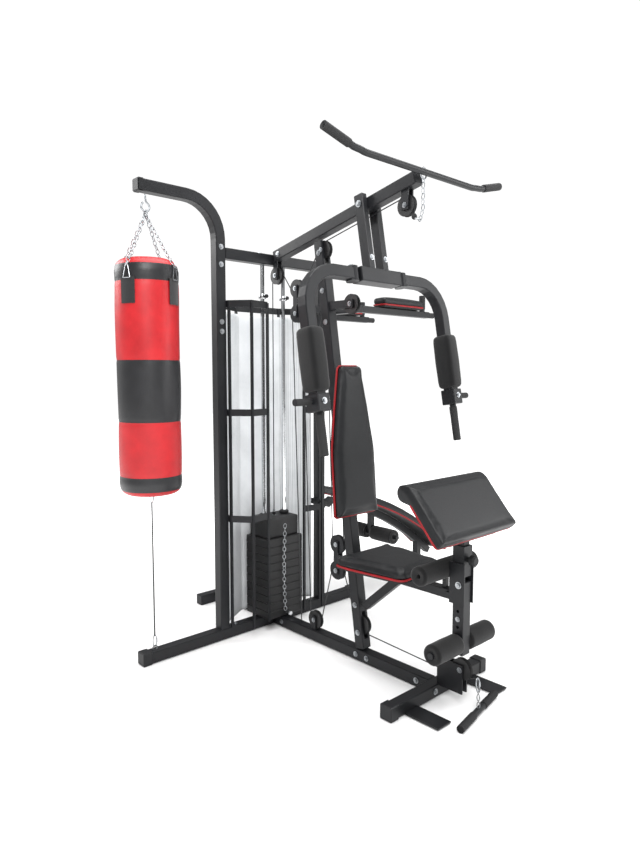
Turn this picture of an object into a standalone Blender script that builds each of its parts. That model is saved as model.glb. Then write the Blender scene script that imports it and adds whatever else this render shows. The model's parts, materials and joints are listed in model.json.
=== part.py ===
"""Multi station home gym: frame, weight stack, pulleys, press arms, seat and punch bag.

Metres, +Z up.  The origin is on the floor, under the joint of the two base tubes.
+X runs forward along the main base tube to the seat, -Y runs out to the punch bag.
"""
import math

import bmesh
import bpy
from mathutils import Matrix, Vector

# ---------------------------------------------------------------- driving dimensions
GAP = 0.0003               # running gap between neighbouring pieces
TUBE = 0.050               # square tube of the frame
HALF = TUBE / 2
REAR_TUBE = 0.045          # square tube of the rear post
CHAMFER = 0.004            # rounded edge of the tubes
FOOT_LIFT = 0.004          # the tubes stand on rubber this thick
BASE_TOP = FOOT_LIFT + TUBE

POST_Y = 0.320             # bag post centre, on the -Y side
REAR_POST_Y = 0.311        # rear post centre, on the +Y side
CROSS_LOW_Y = -0.750       # ends of the base cross tube
CROSS_HIGH_Y = 0.575
FRONT_FOOT_X = 1.000       # back face of the front foot
FRONT_FOOT_HALF = 0.310
REAR_FOOT_X = -0.470
REAR_FOOT_HALF = 0.155

CROSS_Z = 1.820            # top cross tube
ARM_Z = 2.049              # arm that carries the bag
ARM_END_Y = -0.722
ARM_BEND = 0.170
BEAM_Z = 1.826             # top beam centre line at X = 0
BEAM_RISE = 0.2235         # and its rise for each metre of X
BEAM_FRONT_X = 0.900
UPRIGHT_X = 0.632          # main upright centre line at Z = 0
UPRIGHT_LEAN = 0.152       # and how far it leans back for each metre of Z

ROD_Y = 0.065              # guide rods
ROD_R = 0.010
PLATE_COUNT = 10
PLATE_PITCH = 0.040
PLATE_X = 0.090            # half sizes of a weight plate
PLATE_Y = 0.110
STACK_Z = 0.057            # underside of the lowest plate
STACK_TOP = STACK_Z + PLATE_COUNT * PLATE_PITCH
HEAD_TOP = 0.555
PIN_X = PLATE_X + 0.001

WHEEL_R = 0.043            # cable wheels
WHEEL_HALF = 0.009
GROOVE = 0.010
CABLE_R = 0.0025
WRAP_R = WHEEL_R - GROOVE + CABLE_R + 0.0010
AXLE_R = 0.0045
CHEEK_IN = 0.0115          # cheeks on both sides of a wheel
CHEEK_OUT = 0.0165

REAR_WHEEL = (WRAP_R, 1.745)           # X and Z of each wheel's axle
FLOAT_TOP = (0.185, 1.669)
FLOAT_LOW = (0.185, 1.552)
MID_WHEEL = (0.372, 1.821)
LAT_WHEEL = (0.846, 1.931)
FLY_WHEEL = (0.545, 1.571)
DOUBLE_TOP = (0.463, 0.495)
DOUBLE_LOW = (0.463, 0.374)
BASE_WHEEL = (0.314, 0.100)
TURN_WHEEL = (0.620, 0.165)
LOW_WHEEL = (1.143, 0.140)

SWING = Vector((0.635, 0.0, 1.968))    # axis of the press frame
SWING_TILT = math.radians(10)          # it hangs forward by this much at rest
BOX_DROP = 0.305                       # cross box below the axis, along the frame
BOX_HALF_Y = 0.121
KNUCKLE_R = 0.027          # hinge knuckles of the press arms
ARM_Y = 0.415                          # press arms on each side
ARM_R = 0.150                          # and their bend
FOAM_TOP = 0.535                       # foam sleeves, measured below the axis
FOAM_LOW = 0.775

LEVER_PIVOT = Vector((1.135, 0.0, 0.475))
LEVER_FOOT = 0.200
ROLLER_Z = 0.245
ROLLER_R = 0.040
UPPER_FOAM = (1.0595, 0.520)

SEAT_Z = 0.452
SEAT_THICK = 0.053
BACK_LOW = (0.605, 0.647)              # front face of the backrest, bottom and top
BACK_HIGH = (0.550, 1.312)
BACK_THICK = 0.042

PREACHER_HIGH = (1.080, 0.866)         # top face of the curl pad, seen from the side
PREACHER_LOW = (1.234, 0.684)
PREACHER_HALF = 0.250
PREACHER_THICK = 0.050
PREACHER_ROLL = 0.042

BAG_Y = -0.680
BAG_R = 0.133
BAG_LOW = 0.752
BAG_TOP = 1.755
BAG_HOOK_Z = 2.012

BENCH_START = (0.400, 0.600)           # underside of the sit-up pad, Y and Z
BENCH_R = 2.170
BENCH_FROM = math.radians(14)
BENCH_TO = math.radians(40)
BENCH_HINGE = Vector((0.0, 0.362, 0.560))

LAT_X = 0.925
LAT_Z = 2.045

SIDES = 12                             # sides of a small round piece
ROUND = 20                             # sides of a large round piece

# ---------------------------------------------------------------- finishes
FINISH = {
    "frame_black": ((0.020, 0.021, 0.023), 0.42, 0.1),
    "chrome": ((0.62, 0.62, 0.63), 0.12, 1.0),
    "cast_black": ((0.016, 0.016, 0.017), 0.6, 0.0),
    "wheel_black": ((0.012, 0.012, 0.012), 0.45, 0.0),
    "cable_black": ((0.03, 0.03, 0.03), 0.35, 0.0),
    "foam_black": ((0.018, 0.018, 0.019), 0.95, 0.0),
    "vinyl_black": ((0.022, 0.022, 0.024), 0.5, 0.0),
    "bag_red": ((0.55, 0.02, 0.02), 0.55, 0.0),
    "panel_grey": ((0.62, 0.63, 0.64), 0.7, 0.0),
    "knob_black": ((0.014, 0.014, 0.014), 0.4, 0.0),
}

PARTS = "multi_station_home_gym"
CUTTERS = "cutters"


# ---------------------------------------------------------------- scene and objects
def clear_scene():
    for obj in list(bpy.data.objects):
        bpy.data.objects.remove(obj, do_unlink=True)


def collection(name):
    found = bpy.data.collections.get(name)
    if found is None:
        found = bpy.data.collections.new(name)
        bpy.context.scene.collection.children.link(found)
    return found


def finish_material(name, finish):
    colour, rough, metal = FINISH[finish]
    made = bpy.data.materials.new(name + "_" + finish)
    made.use_nodes = True
    shader = made.node_tree.nodes["Principled BSDF"]
    shader.inputs["Base Color"].default_value = (*colour, 1)
    shader.inputs["Roughness"].default_value = rough
    shader.inputs["Metallic"].default_value = metal
    return made


def add(name, mesh, finish, parent=None):
    """A new part, or a cutter or helper shape if it has no finish."""
    obj = bpy.data.objects.new(name, mesh)
    obj.parent = parent
    if finish is None:
        collection(CUTTERS).objects.link(obj)
        obj.hide_render = True
        obj.display_type = "WIRE"
    else:
        collection(PARTS).objects.link(obj)
        mesh.materials.append(finish_material(name, finish))
    return obj


def mesh_from(bm, name):
    mesh = bpy.data.meshes.new(name)
    bm.to_mesh(mesh)
    bm.free()
    return mesh


def set_origin(obj, point):
    """Puts the object's own origin at point without moving its shape."""
    obj.data.transform(Matrix.Translation(-Vector(point)))
    obj.location = point


def chamfer(obj, width=CHAMFER, segments=2):
    edge = obj.modifiers.new("Rounded edges", "BEVEL")
    edge.width = width
    edge.segments = segments
    edge.limit_method = "ANGLE"
    edge.angle_limit = math.radians(40)
    return obj


def boolean(obj, other, operation):
    step = obj.modifiers.new(operation.title(), "BOOLEAN")
    step.operation = operation
    step.object = other
    step.solver = "EXACT"


def weld_on(obj, *others):
    for other in others:
        boolean(obj, other, "UNION")
    return obj


def cut(obj, *others):
    for other in others:
        boolean(obj, other, "DIFFERENCE")
    return obj


def shade_round(obj, angle=40):
    obj.data.shade_smooth()
    obj.data.set_sharp_from_angle(angle=math.radians(angle))
    return obj


# ---------------------------------------------------------------- shapes
def block(name, low, high, finish=None, edge=0.0, segments=2, parent=None):
    """A box between two corners, with its origin at its centre."""
    low, high = Vector(low), Vector(high)
    bm = bmesh.new()
    bmesh.ops.create_cube(bm, size=1)
    bmesh.ops.scale(bm, vec=high - low, verts=bm.verts)
    obj = add(name, mesh_from(bm, name), finish, parent)
    obj.location = (low + high) / 2
    if edge:
        chamfer(obj, edge, segments)
    return obj


def leaning_tube(name, start, end, width, depth, finish=None, edge=CHAMFER, segments=2):
    """A bar in a plane of constant Y: depth lies in that plane, width along Y."""
    start, end = Vector(start), Vector(end)
    run = end - start
    size = Vector((depth, width, run.length))
    obj = block(name, -size / 2, size / 2, finish, edge, segments)
    obj.location = (start + end) / 2
    obj.rotation_euler = (0, math.atan2(run.x, run.z), 0)
    return obj


def rod(name, start, end, radius, finish=None, sides=SIDES, parent=None):
    start, end = Vector(start), Vector(end)
    run = end - start
    bm = bmesh.new()
    bmesh.ops.create_cone(bm, cap_ends=True, segments=sides, radius1=radius,
                          radius2=radius, depth=run.length)
    turn = run.to_track_quat("Z", "Y").to_matrix().to_4x4()
    bmesh.ops.transform(bm, matrix=turn, verts=bm.verts)
    obj = add(name, mesh_from(bm, name), finish, parent)
    obj.location = (start + end) / 2
    return shade_round(obj)


def turned(name, profile, finish, centre, axis, sides=ROUND, parent=None):
    """A profile of (radius, height) turned about an axis; it closes unless it meets it."""
    bm = bmesh.new()
    points = [bm.verts.new((radius, 0, height)) for radius, height in profile]
    ahead = points[1:] + (points[:1] if profile[0][0] > 0 else [])
    for first, second in zip(points, ahead):
        bm.edges.new((first, second))
    obj = add(name, mesh_from(bm, name), finish, parent)
    spin = obj.modifiers.new("Turned", "SCREW")
    spin.steps = sides
    spin.render_steps = sides
    spin.use_merge_vertices = True
    spin.merge_threshold = 0.00005
    obj.location = centre
    obj.rotation_euler = Vector(axis).to_track_quat("Z", "Y").to_euler()
    return obj


def fillet(points, radius, steps):
    """A polyline with each inner corner rounded to an arc."""
    corners = [Vector(point) for point in points]
    path = [corners[0]]
    for before, corner, after in zip(corners, corners[1:], corners[2:]):
        back = (before - corner).normalized()
        ahead = (after - corner).normalized()
        half = back.angle(ahead) / 2
        middle = corner + (back + ahead).normalized() * (radius / math.sin(half))
        first = corner + back * (radius / math.tan(half)) - middle
        last = corner + ahead * (radius / math.tan(half)) - middle
        sweep = first.angle(last)
        for step in range(steps + 1):
            share = step / steps
            arm = (first * math.sin((1 - share) * sweep)
                   + last * math.sin(share * sweep)) / math.sin(sweep)
            path.append(middle + arm)
    path.append(corners[-1])
    return path


def curve_mesh(name, points, radius, profile=None, sides=8):
    """The mesh of a swept tube: round, or with the section of a profile curve."""
    curve = bpy.data.curves.new(name + "_path", "CURVE")
    curve.dimensions = "3D"
    curve.use_fill_caps = True
    curve.twist_mode = "MINIMUM"
    if profile is None:
        curve.bevel_depth = radius
        curve.bevel_resolution = max(0, sides // 4)
    else:
        curve.bevel_mode = "OBJECT"
        curve.bevel_object = profile
    spline = curve.splines.new("POLY")
    spline.points.add(len(points) - 1)
    for knot, point in zip(spline.points, points):
        knot.co = (*point, 1)
    guide = bpy.data.objects.new(name + "_path", curve)
    collection(CUTTERS).objects.link(guide)
    bpy.context.view_layer.update()
    ready = guide.evaluated_get(bpy.context.evaluated_depsgraph_get())
    mesh = bpy.data.meshes.new_from_object(ready)
    bpy.data.objects.remove(guide, do_unlink=True)
    bm = bmesh.new()
    bm.from_mesh(mesh)
    bmesh.ops.remove_doubles(bm, verts=bm.verts, dist=0.00002)
    bmesh.ops.recalc_face_normals(bm, faces=bm.faces)
    bm.to_mesh(mesh)
    bm.free()
    mesh.materials.clear()
    mesh.name = name
    return mesh


def round_tube(name, points, radius, finish=None, sides=8, parent=None):
    obj = add(name, curve_mesh(name, points, radius, sides=sides), finish, parent)
    return shade_round(obj)


def section(size, edge=CHAMFER):
    """A square section with cut corners, used as a bevel object."""
    curve = bpy.data.curves.new("section", "CURVE")
    curve.dimensions = "2D"
    spline = curve.splines.new("POLY")
    half = size / 2
    corner = [(half, half - edge), (half - edge * 0.3, half - edge * 0.3),
              (half - edge, half)]
    ring = []
    for quarter in range(4):
        turn = Matrix.Rotation(math.radians(90 * quarter), 2)
        ring += [turn @ Vector(point) for point in corner]
    spline.points.add(len(ring) - 1)
    for knot, point in zip(spline.points, ring):
        knot.co = (point.x, point.y, 0, 1)
    spline.use_cyclic_u = True
    obj = bpy.data.objects.new("section", curve)
    collection(CUTTERS).objects.link(obj)
    obj.hide_render = True
    obj.display_type = "WIRE"
    return obj


def square_tube(name, points, size, finish=None, parent=None):
    profile = section(size)
    mesh = curve_mesh(name, points, 0, profile)
    bpy.data.objects.remove(profile, do_unlink=True)
    return shade_round(add(name, mesh, finish, parent), 30)


def slab(name, outline, low, high, axis, finish=None, edge=0.0, parent=None):
    """A flat outline pushed out along Y or Z, from low to high."""
    bm = bmesh.new()
    if axis == "Y":
        ring = [bm.verts.new((a, low, b)) for a, b in outline]
        push = Vector((0, high - low, 0))
    elif axis == "X":
        ring = [bm.verts.new((low, a, b)) for a, b in outline]
        push = Vector((high - low, 0, 0))
    else:
        ring = [bm.verts.new((a, b, low)) for a, b in outline]
        push = Vector((0, 0, high - low))
    face = bm.faces.new(ring)
    grown = bmesh.ops.extrude_face_region(bm, geom=[face])
    moved = [item for item in grown["geom"] if isinstance(item, bmesh.types.BMVert)]
    bmesh.ops.translate(bm, vec=push, verts=moved)
    bmesh.ops.recalc_face_normals(bm, faces=bm.faces)
    obj = add(name, mesh_from(bm, name), finish, parent)
    if edge:
        chamfer(obj, edge, 2)
    return obj


def strip_outline(path, thick):
    """Both sides of a bent strip of constant thickness, as one closed outline."""
    path = [Vector(point) for point in path]
    left, right = [], []
    for index, point in enumerate(path):
        before = path[max(index - 1, 0)]
        after = path[min(index + 1, len(path) - 1)]
        into = (point - before).normalized() if point != before else None
        out = (after - point).normalized() if after != point else None
        into, out = into or out, out or into
        middle = (into + out).normalized()
        normal = Vector((-middle.y, middle.x))
        reach = thick / 2 / max(0.3, normal.dot(Vector((-into.y, into.x))))
        left.append(point + normal * reach)
        right.append(point - normal * reach)
    return left + right[::-1]


def belt(stops):
    """Points of a cable in an XZ plane that runs round each wheel in turn.

    Each stop is (x, z, radius, side); side is 1 where the wheel lies to the right
    of the cable as it passes, -1 where it lies to the left, and 0 at an end.
    """
    legs = []
    for (x1, z1, r1, s1), (x2, z2, r2, s2) in zip(stops, stops[1:]):
        across, up = x2 - x1, z2 - z1
        reach = math.hypot(across, up)
        heading = math.atan2(up, across)
        heading -= math.asin((s1 * r1 - s2 * r2) / reach)
        normal = (-math.sin(heading), math.cos(heading))
        legs.append(((x1 + s1 * r1 * normal[0], z1 + s1 * r1 * normal[1]),
                     (x2 + s2 * r2 * normal[0], z2 + s2 * r2 * normal[1])))
    path = [legs[0][0]]
    for (_, arrive), (leave, _), (x, z, radius, side) in zip(legs, legs[1:], stops[1:]):
        first = math.atan2(arrive[1] - z, arrive[0] - x)
        last = math.atan2(leave[1] - z, leave[0] - x)
        sweep = (last - first) * -side % (2 * math.pi) * -side
        steps = max(1, round(abs(sweep) / math.radians(18)))
        for step in range(steps + 1):
            angle = first + sweep * step / steps
            path.append((x + radius * math.cos(angle), z + radius * math.sin(angle)))
    path.append(legs[-1][1])
    return [Vector((x, 0, z)) for x, z in path]


def wheel(name, place, finish="wheel_black"):
    """A grooved cable wheel on a Y axle; without a finish it is solid with its axle."""
    bore = AXLE_R + (0.0005 if finish else 0)
    flat = 0.004
    inner = WHEEL_R - GROOVE
    profile = [(bore, WHEEL_HALF), (WHEEL_R, WHEEL_HALF), (inner, flat),
               (inner, -flat), (WHEEL_R, -WHEEL_HALF), (bore, -WHEEL_HALF)]
    if not finish:
        reach = (CHEEK_IN + CHEEK_OUT) / 2
        profile = [(0, reach), (bore, reach), *profile, (bore, -reach), (0, -reach)]
    return turned(name, profile, finish, (place[0], 0, place[1]), (0, 1, 0))


def cheeks(name, low, high, axles, inside=CHEEK_IN, outside=CHEEK_OUT):
    """Cutter-side pieces of a wheel bracket: two cheeks and the wheels' axles."""
    pieces = [block(f"{name}_{side}", (low[0], min(side * inside, side * outside), low[1]),
                    (high[0], max(side * inside, side * outside), high[1]))
              for side in (-1, 1)]
    middle = (inside + outside) / 2
    pieces += [rod(f"{name}_axle", (x, -middle, z), (x, middle, z), AXLE_R, sides=10)
               for x, z in axles]
    return pieces


def upright_x(z):
    return UPRIGHT_X - UPRIGHT_LEAN * z


def beam_z(x):
    return BEAM_Z + BEAM_RISE * x


# ---------------------------------------------------------------- frame
def base():
    cross = block("base_cross_tube", (-HALF, CROSS_LOW_Y + 0.02, FOOT_LIFT),
                  (HALF, CROSS_HIGH_Y - 0.015, BASE_TOP), "frame_black", CHAMFER)
    caps = [block("cap_low", (-0.029, CROSS_LOW_Y, 0), (0.029, CROSS_LOW_Y + 0.045, 0.058),
                  edge=0.004, segments=1),
            block("cap_high", (-0.029, CROSS_HIGH_Y - 0.04, 0),
                  (0.029, CROSS_HIGH_Y, 0.058), edge=0.004, segments=1),
            block("middle_foot", (-0.018, -0.018, 0), (0.018, 0.018, 0.010))]
    weld_on(cross, *caps)

    main = block("base_main_tube", (HALF + GAP, -HALF, FOOT_LIFT),
                 (FRONT_FOOT_X - GAP, HALF, BASE_TOP), "frame_black", CHAMFER)
    weld_on(main, *cheeks("base_wheel_cheek", (BASE_WHEEL[0] - 0.012, BASE_TOP - 0.01),
                          (BASE_WHEEL[0] + 0.012, BASE_WHEEL[1] + 0.018), [BASE_WHEEL]))

    front = block("front_foot", (FRONT_FOOT_X, -FRONT_FOOT_HALF + 0.02, FOOT_LIFT),
                  (FRONT_FOOT_X + TUBE, FRONT_FOOT_HALF - 0.02, BASE_TOP),
                  "frame_black", CHAMFER)
    for side in (-1, 1):
        near, far = side * (FRONT_FOOT_HALF - 0.045), side * FRONT_FOOT_HALF
        weld_on(front, block(f"front_cap_{side}",
                             (FRONT_FOOT_X - 0.004, min(near, far), 0),
                             (FRONT_FOOT_X + TUBE + 0.004, max(near, far), 0.058),
                             edge=0.004, segments=1))
        inner, outer = side * 0.150, side * 0.227
        weld_on(front, block(f"foot_plate_{side}",
                             (FRONT_FOOT_X + TUBE - 0.010, min(inner, outer), FOOT_LIFT + 0.001),
                             (1.202, max(inner, outer), FOOT_LIFT + 0.007)))
    weld_on(front, *cheeks("low_wheel_cheek", (FRONT_FOOT_X + TUBE - 0.012, 0.046),
                           (LOW_WHEEL[0] + 0.012, LOW_WHEEL[1] + 0.020), [LOW_WHEEL],
                           0.0115, 0.0175))

    rear = block("rear_foot", (REAR_FOOT_X - HALF, -REAR_FOOT_HALF, 0),
                 (REAR_FOOT_X + HALF, REAR_FOOT_HALF, BASE_TOP), "frame_black", CHAMFER)
    weld_on(rear, block("rear_rail", (REAR_FOOT_X, -0.02, 0.010), (-HALF - GAP, 0.02, 0.050)))


def posts():
    path = fillet([(0, -POST_Y, BASE_TOP + GAP), (0, -POST_Y, ARM_Z), (0, ARM_END_Y, ARM_Z)],
                  ARM_BEND, 9)
    square_tube("bag_post", path, TUBE, "frame_black")

    half = REAR_TUBE / 2
    rear = block("rear_post", (-half, REAR_POST_Y - half, BASE_TOP + GAP),
                 (half, REAR_POST_Y + half, CROSS_Z + HALF + 0.008), "frame_black", CHAMFER)
    weld_on(rear, block("bench_lug", (-0.014, REAR_POST_Y + half - 0.006, 0.545),
                        (0.014, BENCH_HINGE.y - 0.018, 0.575)))

    block("top_cross_tube", (-HALF, -POST_Y + HALF + GAP, CROSS_Z - HALF),
          (HALF, REAR_POST_Y - half - GAP, CROSS_Z + HALF), "frame_black", CHAMFER)

    start_x = HALF + 0.009
    beam = leaning_tube("top_beam", (start_x, 0, beam_z(start_x)),
                        (BEAM_FRONT_X, 0, beam_z(BEAM_FRONT_X)), TUBE, TUBE, "frame_black")
    weld_on(beam, *cheeks("rear_wheel_cheek", (HALF + GAP, REAR_WHEEL[1] - 0.018),
                          (REAR_WHEEL[0] + 0.018, 1.822), [REAR_WHEEL]))
    weld_on(beam, *cheeks("lat_wheel_cheek", (LAT_WHEEL[0] - 0.018, LAT_WHEEL[1] - 0.018),
                          (LAT_WHEEL[0] + 0.018, beam_z(LAT_WHEEL[0])), [LAT_WHEEL]))


def main_upright():
    low, high = BASE_TOP + 0.005, 1.862
    post = leaning_tube("main_upright", (upright_x(low), 0, low), (upright_x(high), 0, high),
                        TUBE, TUBE, "frame_black")
    slots = [block("top_slot", (0.25, -CHEEK_IN, MID_WHEEL[1] - 0.060), (0.50, CHEEK_IN, 1.95)),
             block("low_slot", (0.50, -CHEEK_IN, TURN_WHEEL[1] - 0.060),
                   (0.75, CHEEK_IN, TURN_WHEEL[1] + 0.060))]
    cut(post, *slots)
    weld_on(post, *[rod(f"fork_axle_{index}", (x, -0.018, z), (x, 0.018, z), AXLE_R, sides=10)
                    for index, (x, z) in enumerate((MID_WHEEL, TURN_WHEEL))])
    front = upright_x(FLY_WHEEL[1]) + HALF - 0.006
    weld_on(post, *cheeks("fly_wheel_cheek", (front, FLY_WHEEL[1] - 0.018),
                          (FLY_WHEEL[0] + 0.018, FLY_WHEEL[1] + 0.018), [FLY_WHEEL]))
    for index, (low_z, high_z) in enumerate(((0.715, 0.765), (1.195, 1.245))):
        share = ((low_z + high_z) / 2 - BACK_LOW[1]) / (BACK_HIGH[1] - BACK_LOW[1])
        back = BACK_LOW[0] + share * (BACK_HIGH[0] - BACK_LOW[0]) - BACK_THICK - 0.003
        weld_on(post, block(f"back_bracket_{index}", (upright_x(high_z) + HALF - 0.006, -0.02,
                                                      low_z), (back, 0.02, high_z)))


def seat_frame():
    back = upright_x(0.43) + HALF + 0.006
    frame = block("seat_frame", (back, -0.020, 0.405), (1.105, 0.020, SEAT_Z - 0.008),
                  "frame_black", CHAMFER)
    strut = leaning_tube("seat_strut", (upright_x(0.25) + HALF + 0.020, 0, 0.252),
                         (0.840, 0, 0.430), 0.036, 0.036)
    yoke = [block(f"yoke_{side}", (1.098, min(side * 0.0256, side * 0.0306), 0.400),
                  (1.166, max(side * 0.0256, side * 0.0306), 0.560)) for side in (-1, 1)]
    neck = block("yoke_neck", (1.080, -0.029, 0.412), (1.1045, 0.029, 0.436))
    socket = block("curl_socket", (1.1095, -0.0262, 0.508), (1.1610, 0.0262, 0.625))
    bore = block("socket_bore", (1.1155, -0.0197, 0.40), (1.1550, 0.0197, 0.70))
    saddle = block("upper_foam_stem", (UPPER_FOAM[0] - 0.008, -0.010, 0.430),
                   (UPPER_FOAM[0] + 0.008, 0.010, UPPER_FOAM[1] - 0.0385))
    weld_on(frame, strut, neck, *yoke, socket, saddle)
    cut(frame, bore, block("lever_room", (1.1050, -0.0253, 0.38), (1.17, 0.0253, 0.5078)))


def guard():
    """Open-fronted cage round the stack: three bent bars tied by uprights."""
    side = POST_Y - HALF - 0.0035
    path = [(0.100, -0.115), (0.120, -0.222), (0.035, -side), (-0.035, -side),
            (-0.122, -0.135), (-0.122, 0.135), (-0.035, side - 0.0065),
            (0.035, side - 0.0065), (0.120, 0.222), (0.100, 0.115)]
    outline = strip_outline(path, 0.004)
    rings = [slab(f"guard_ring_{index}", outline, z - 0.016, z + 0.016, "Z",
                  "frame_black" if index == 0 else None)
             for index, z in enumerate((0.585, 1.088, 1.590))]
    rings[0].name = "stack_guard"
    stays = []
    for index in (0, 1, 2, 4, 5, 7, 8, 9):
        x, y = path[index]
        stays.append(block(f"guard_stay_{index}", (x - 0.0055, y - 0.0055, 0.0575),
                           (x + 0.0055, y + 0.0055, 1.600)))
    stays[2].location.y += 0.004
    stays[5].location.y -= 0.004
    weld_on(rings[0], *rings[1:], *stays)

    sheet = [(-0.018, -side + 0.014), (-0.112, -0.126), (-0.112, 0.126),
             (-0.018, side - 0.021)]
    slab("mesh_panel", strip_outline(sheet, 0.002), 0.062, 1.560, "Z", "panel_grey")


def knee_station():
    """Dip and knee raise arms on the rear post."""
    y_back = REAR_POST_Y + REAR_TUBE / 2 + GAP
    frame = block("knee_arm_frame", (-0.257, y_back, 1.575), (0.257, y_back + 0.040, 1.615),
                  "frame_black", CHAMFER)
    for side in (-1, 1):
        x = side * 0.230
        arm = block(f"knee_arm_{side}", (x - 0.019, y_back + 0.012, 1.578),
                    (x + 0.019, 0.930, 1.612), edge=0.003, segments=1)
        stub = rod(f"knee_stub_{side}", (x, 0.920, 1.595), (x, 0.985, 1.595), 0.0125)
        grip = rod(f"knee_grip_{side}", (x, 0.885, 1.60), (x, 0.885, 1.700), 0.015)
        weld_on(frame, arm, stub, grip)
        name = "arm_pad_right" if side > 0 else "arm_pad_left"
        block(name, (x - 0.047, 0.520, 1.6155), (x + 0.047, 0.850, 1.668), "vinyl_black", 0.012)


# ---------------------------------------------------------------- stack and cables
def stack():
    for side in (-1, 1):
        name = "guide_rod_right" if side > 0 else "guide_rod_left"
        rod(name, (0, side * ROD_Y, BASE_TOP + GAP), (0, side * ROD_Y, CROSS_Z - HALF - GAP),
            ROD_R, "chrome")

    holes = [rod(f"rod_hole_{side}", (0, side * ROD_Y, 0), (0, side * ROD_Y, 0.7),
                 ROD_R + 0.002, sides=10) for side in (-1, 1)]
    stem_hole = rod("stem_hole", (0, 0, 0), (0, 0, 0.5), 0.0105, sides=8)
    pin_hole = rod("pin_hole", (0.04, 0, STACK_Z + PLATE_PITCH / 2),
                   (0.2, 0, STACK_Z + PLATE_PITCH / 2), 0.0062, sides=8)
    for index in range(PLATE_COUNT):
        low = STACK_Z + (PLATE_COUNT - 1 - index) * PLATE_PITCH
        plate = block(f"weight_plate_{index + 1:02d}", (-PLATE_X, -PLATE_Y, low),
                      (PLATE_X, PLATE_Y, low + PLATE_PITCH - GAP), "cast_black", 0.003, 1)
        cut(plate, *holes, stem_hole)
        if index == PLATE_COUNT - 1:
            cut(plate, pin_hole)

    head = block("stack_head", (-0.072, -0.100, STACK_TOP), (0.072, 0.100, HEAD_TOP),
                 "cast_black", 0.008)
    cut(head, *holes)
    weld_on(head, rod("selector_stem", (0, 0, STACK_Z + 0.006), (0, 0, STACK_TOP + 0.01),
                      0.0085, sides=8),
            rod("cable_stud", (0, 0, HEAD_TOP - 0.01), (0, 0, HEAD_TOP + 0.016), 0.008, sides=10))

    height = STACK_Z + PLATE_PITCH / 2
    pin = turned("selector_pin", [(0.0, 0.037), (0.010, 0.037), (0.012, 0.032), (0.012, 0.008),
                                  (0.005, 0.0), (0.005, -0.040), (0.0, -0.040)],
                 "chrome", (PIN_X, 0, height), (1, 0, 0), 10)
    return pin


def cables():
    wrap = WRAP_R
    upper = belt([(0, HEAD_TOP + 0.017, 0, 0), (*REAR_WHEEL, wrap, 1), (*FLOAT_TOP, wrap, -1),
                  (*MID_WHEEL, wrap, 1), (*LAT_WHEEL, wrap, 1),
                  (LAT_WHEEL[0] + wrap, 1.893, 0, 0)])
    round_tube("upper_cable", upper, CABLE_R, "cable_black")
    low = belt([(0.210, BASE_TOP + 0.002, 0, 0), (*FLOAT_LOW, wrap, 1), (*BASE_WHEEL, wrap, -1),
                (*DOUBLE_LOW, wrap, 1), (*TURN_WHEEL, wrap, -1), (*LOW_WHEEL, wrap, -1),
                (1.212, 0.128, 0, 0)])
    round_tube("low_cable", low, CABLE_R, "cable_black")


def floating_blocks():
    for name, top, low in (("float_block", FLOAT_TOP, FLOAT_LOW),
                           ("double_block", DOUBLE_TOP, DOUBLE_LOW)):
        middle = (top[1] + low[1]) / 2
        bridge = block(name, (top[0] - 0.009, -CHEEK_IN - 0.001, middle - 0.010),
                       (top[0] + 0.009, CHEEK_IN + 0.001, middle + 0.010), "frame_black")
        fixed = [low] if name == "float_block" else [top, low]
        loose = [top] if name == "float_block" else []
        weld_on(bridge, *cheeks(name + "_cheek", (top[0] - 0.013, low[1] - 0.016),
                                (top[0] + 0.013, top[1] + 0.016), loose))
        weld_on(bridge, *[wheel(f"{name}_wheel_{index}", place, None)
                          for index, place in enumerate(fixed)])


def wheels():
    places = {"rear_wheel": REAR_WHEEL, "float_wheel": FLOAT_TOP, "mid_wheel": MID_WHEEL,
              "lat_wheel": LAT_WHEEL, "fly_wheel": FLY_WHEEL,
              "base_wheel": BASE_WHEEL, "low_wheel": LOW_WHEEL}
    for name, place in places.items():
        wheel(name, place)


# ---------------------------------------------------------------- stations
def lat_bar():
    tips = [(LAT_X, -0.530, LAT_Z + 0.043), (LAT_X, -0.360, LAT_Z), (LAT_X, 0.360, LAT_Z),
            (LAT_X, 0.530, LAT_Z + 0.043)]
    bar = round_tube("lat_bar", fillet(tips, 0.12, 4), 0.0125, "frame_black", 10)
    ring = rod("lat_bar_eye", (LAT_X - 0.004, 0, LAT_Z - 0.024), (LAT_X + 0.004, 0, LAT_Z - 0.024),
               0.016, sides=10)
    stop = rod("cable_ball", (LAT_WHEEL[0] + WRAP_R, 0, 1.874),
               (LAT_WHEEL[0] + WRAP_R, 0, 1.8925), 0.011, sides=10)
    link = round_tube("bar_link", [(LAT_WHEEL[0] + WRAP_R, 0, 1.882), (0.905, 0, 1.872),
                                   (LAT_X, 0, 1.900), (LAT_X, 0, LAT_Z - 0.036)], 0.004)
    weld_on(bar, ring, stop, link)


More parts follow.
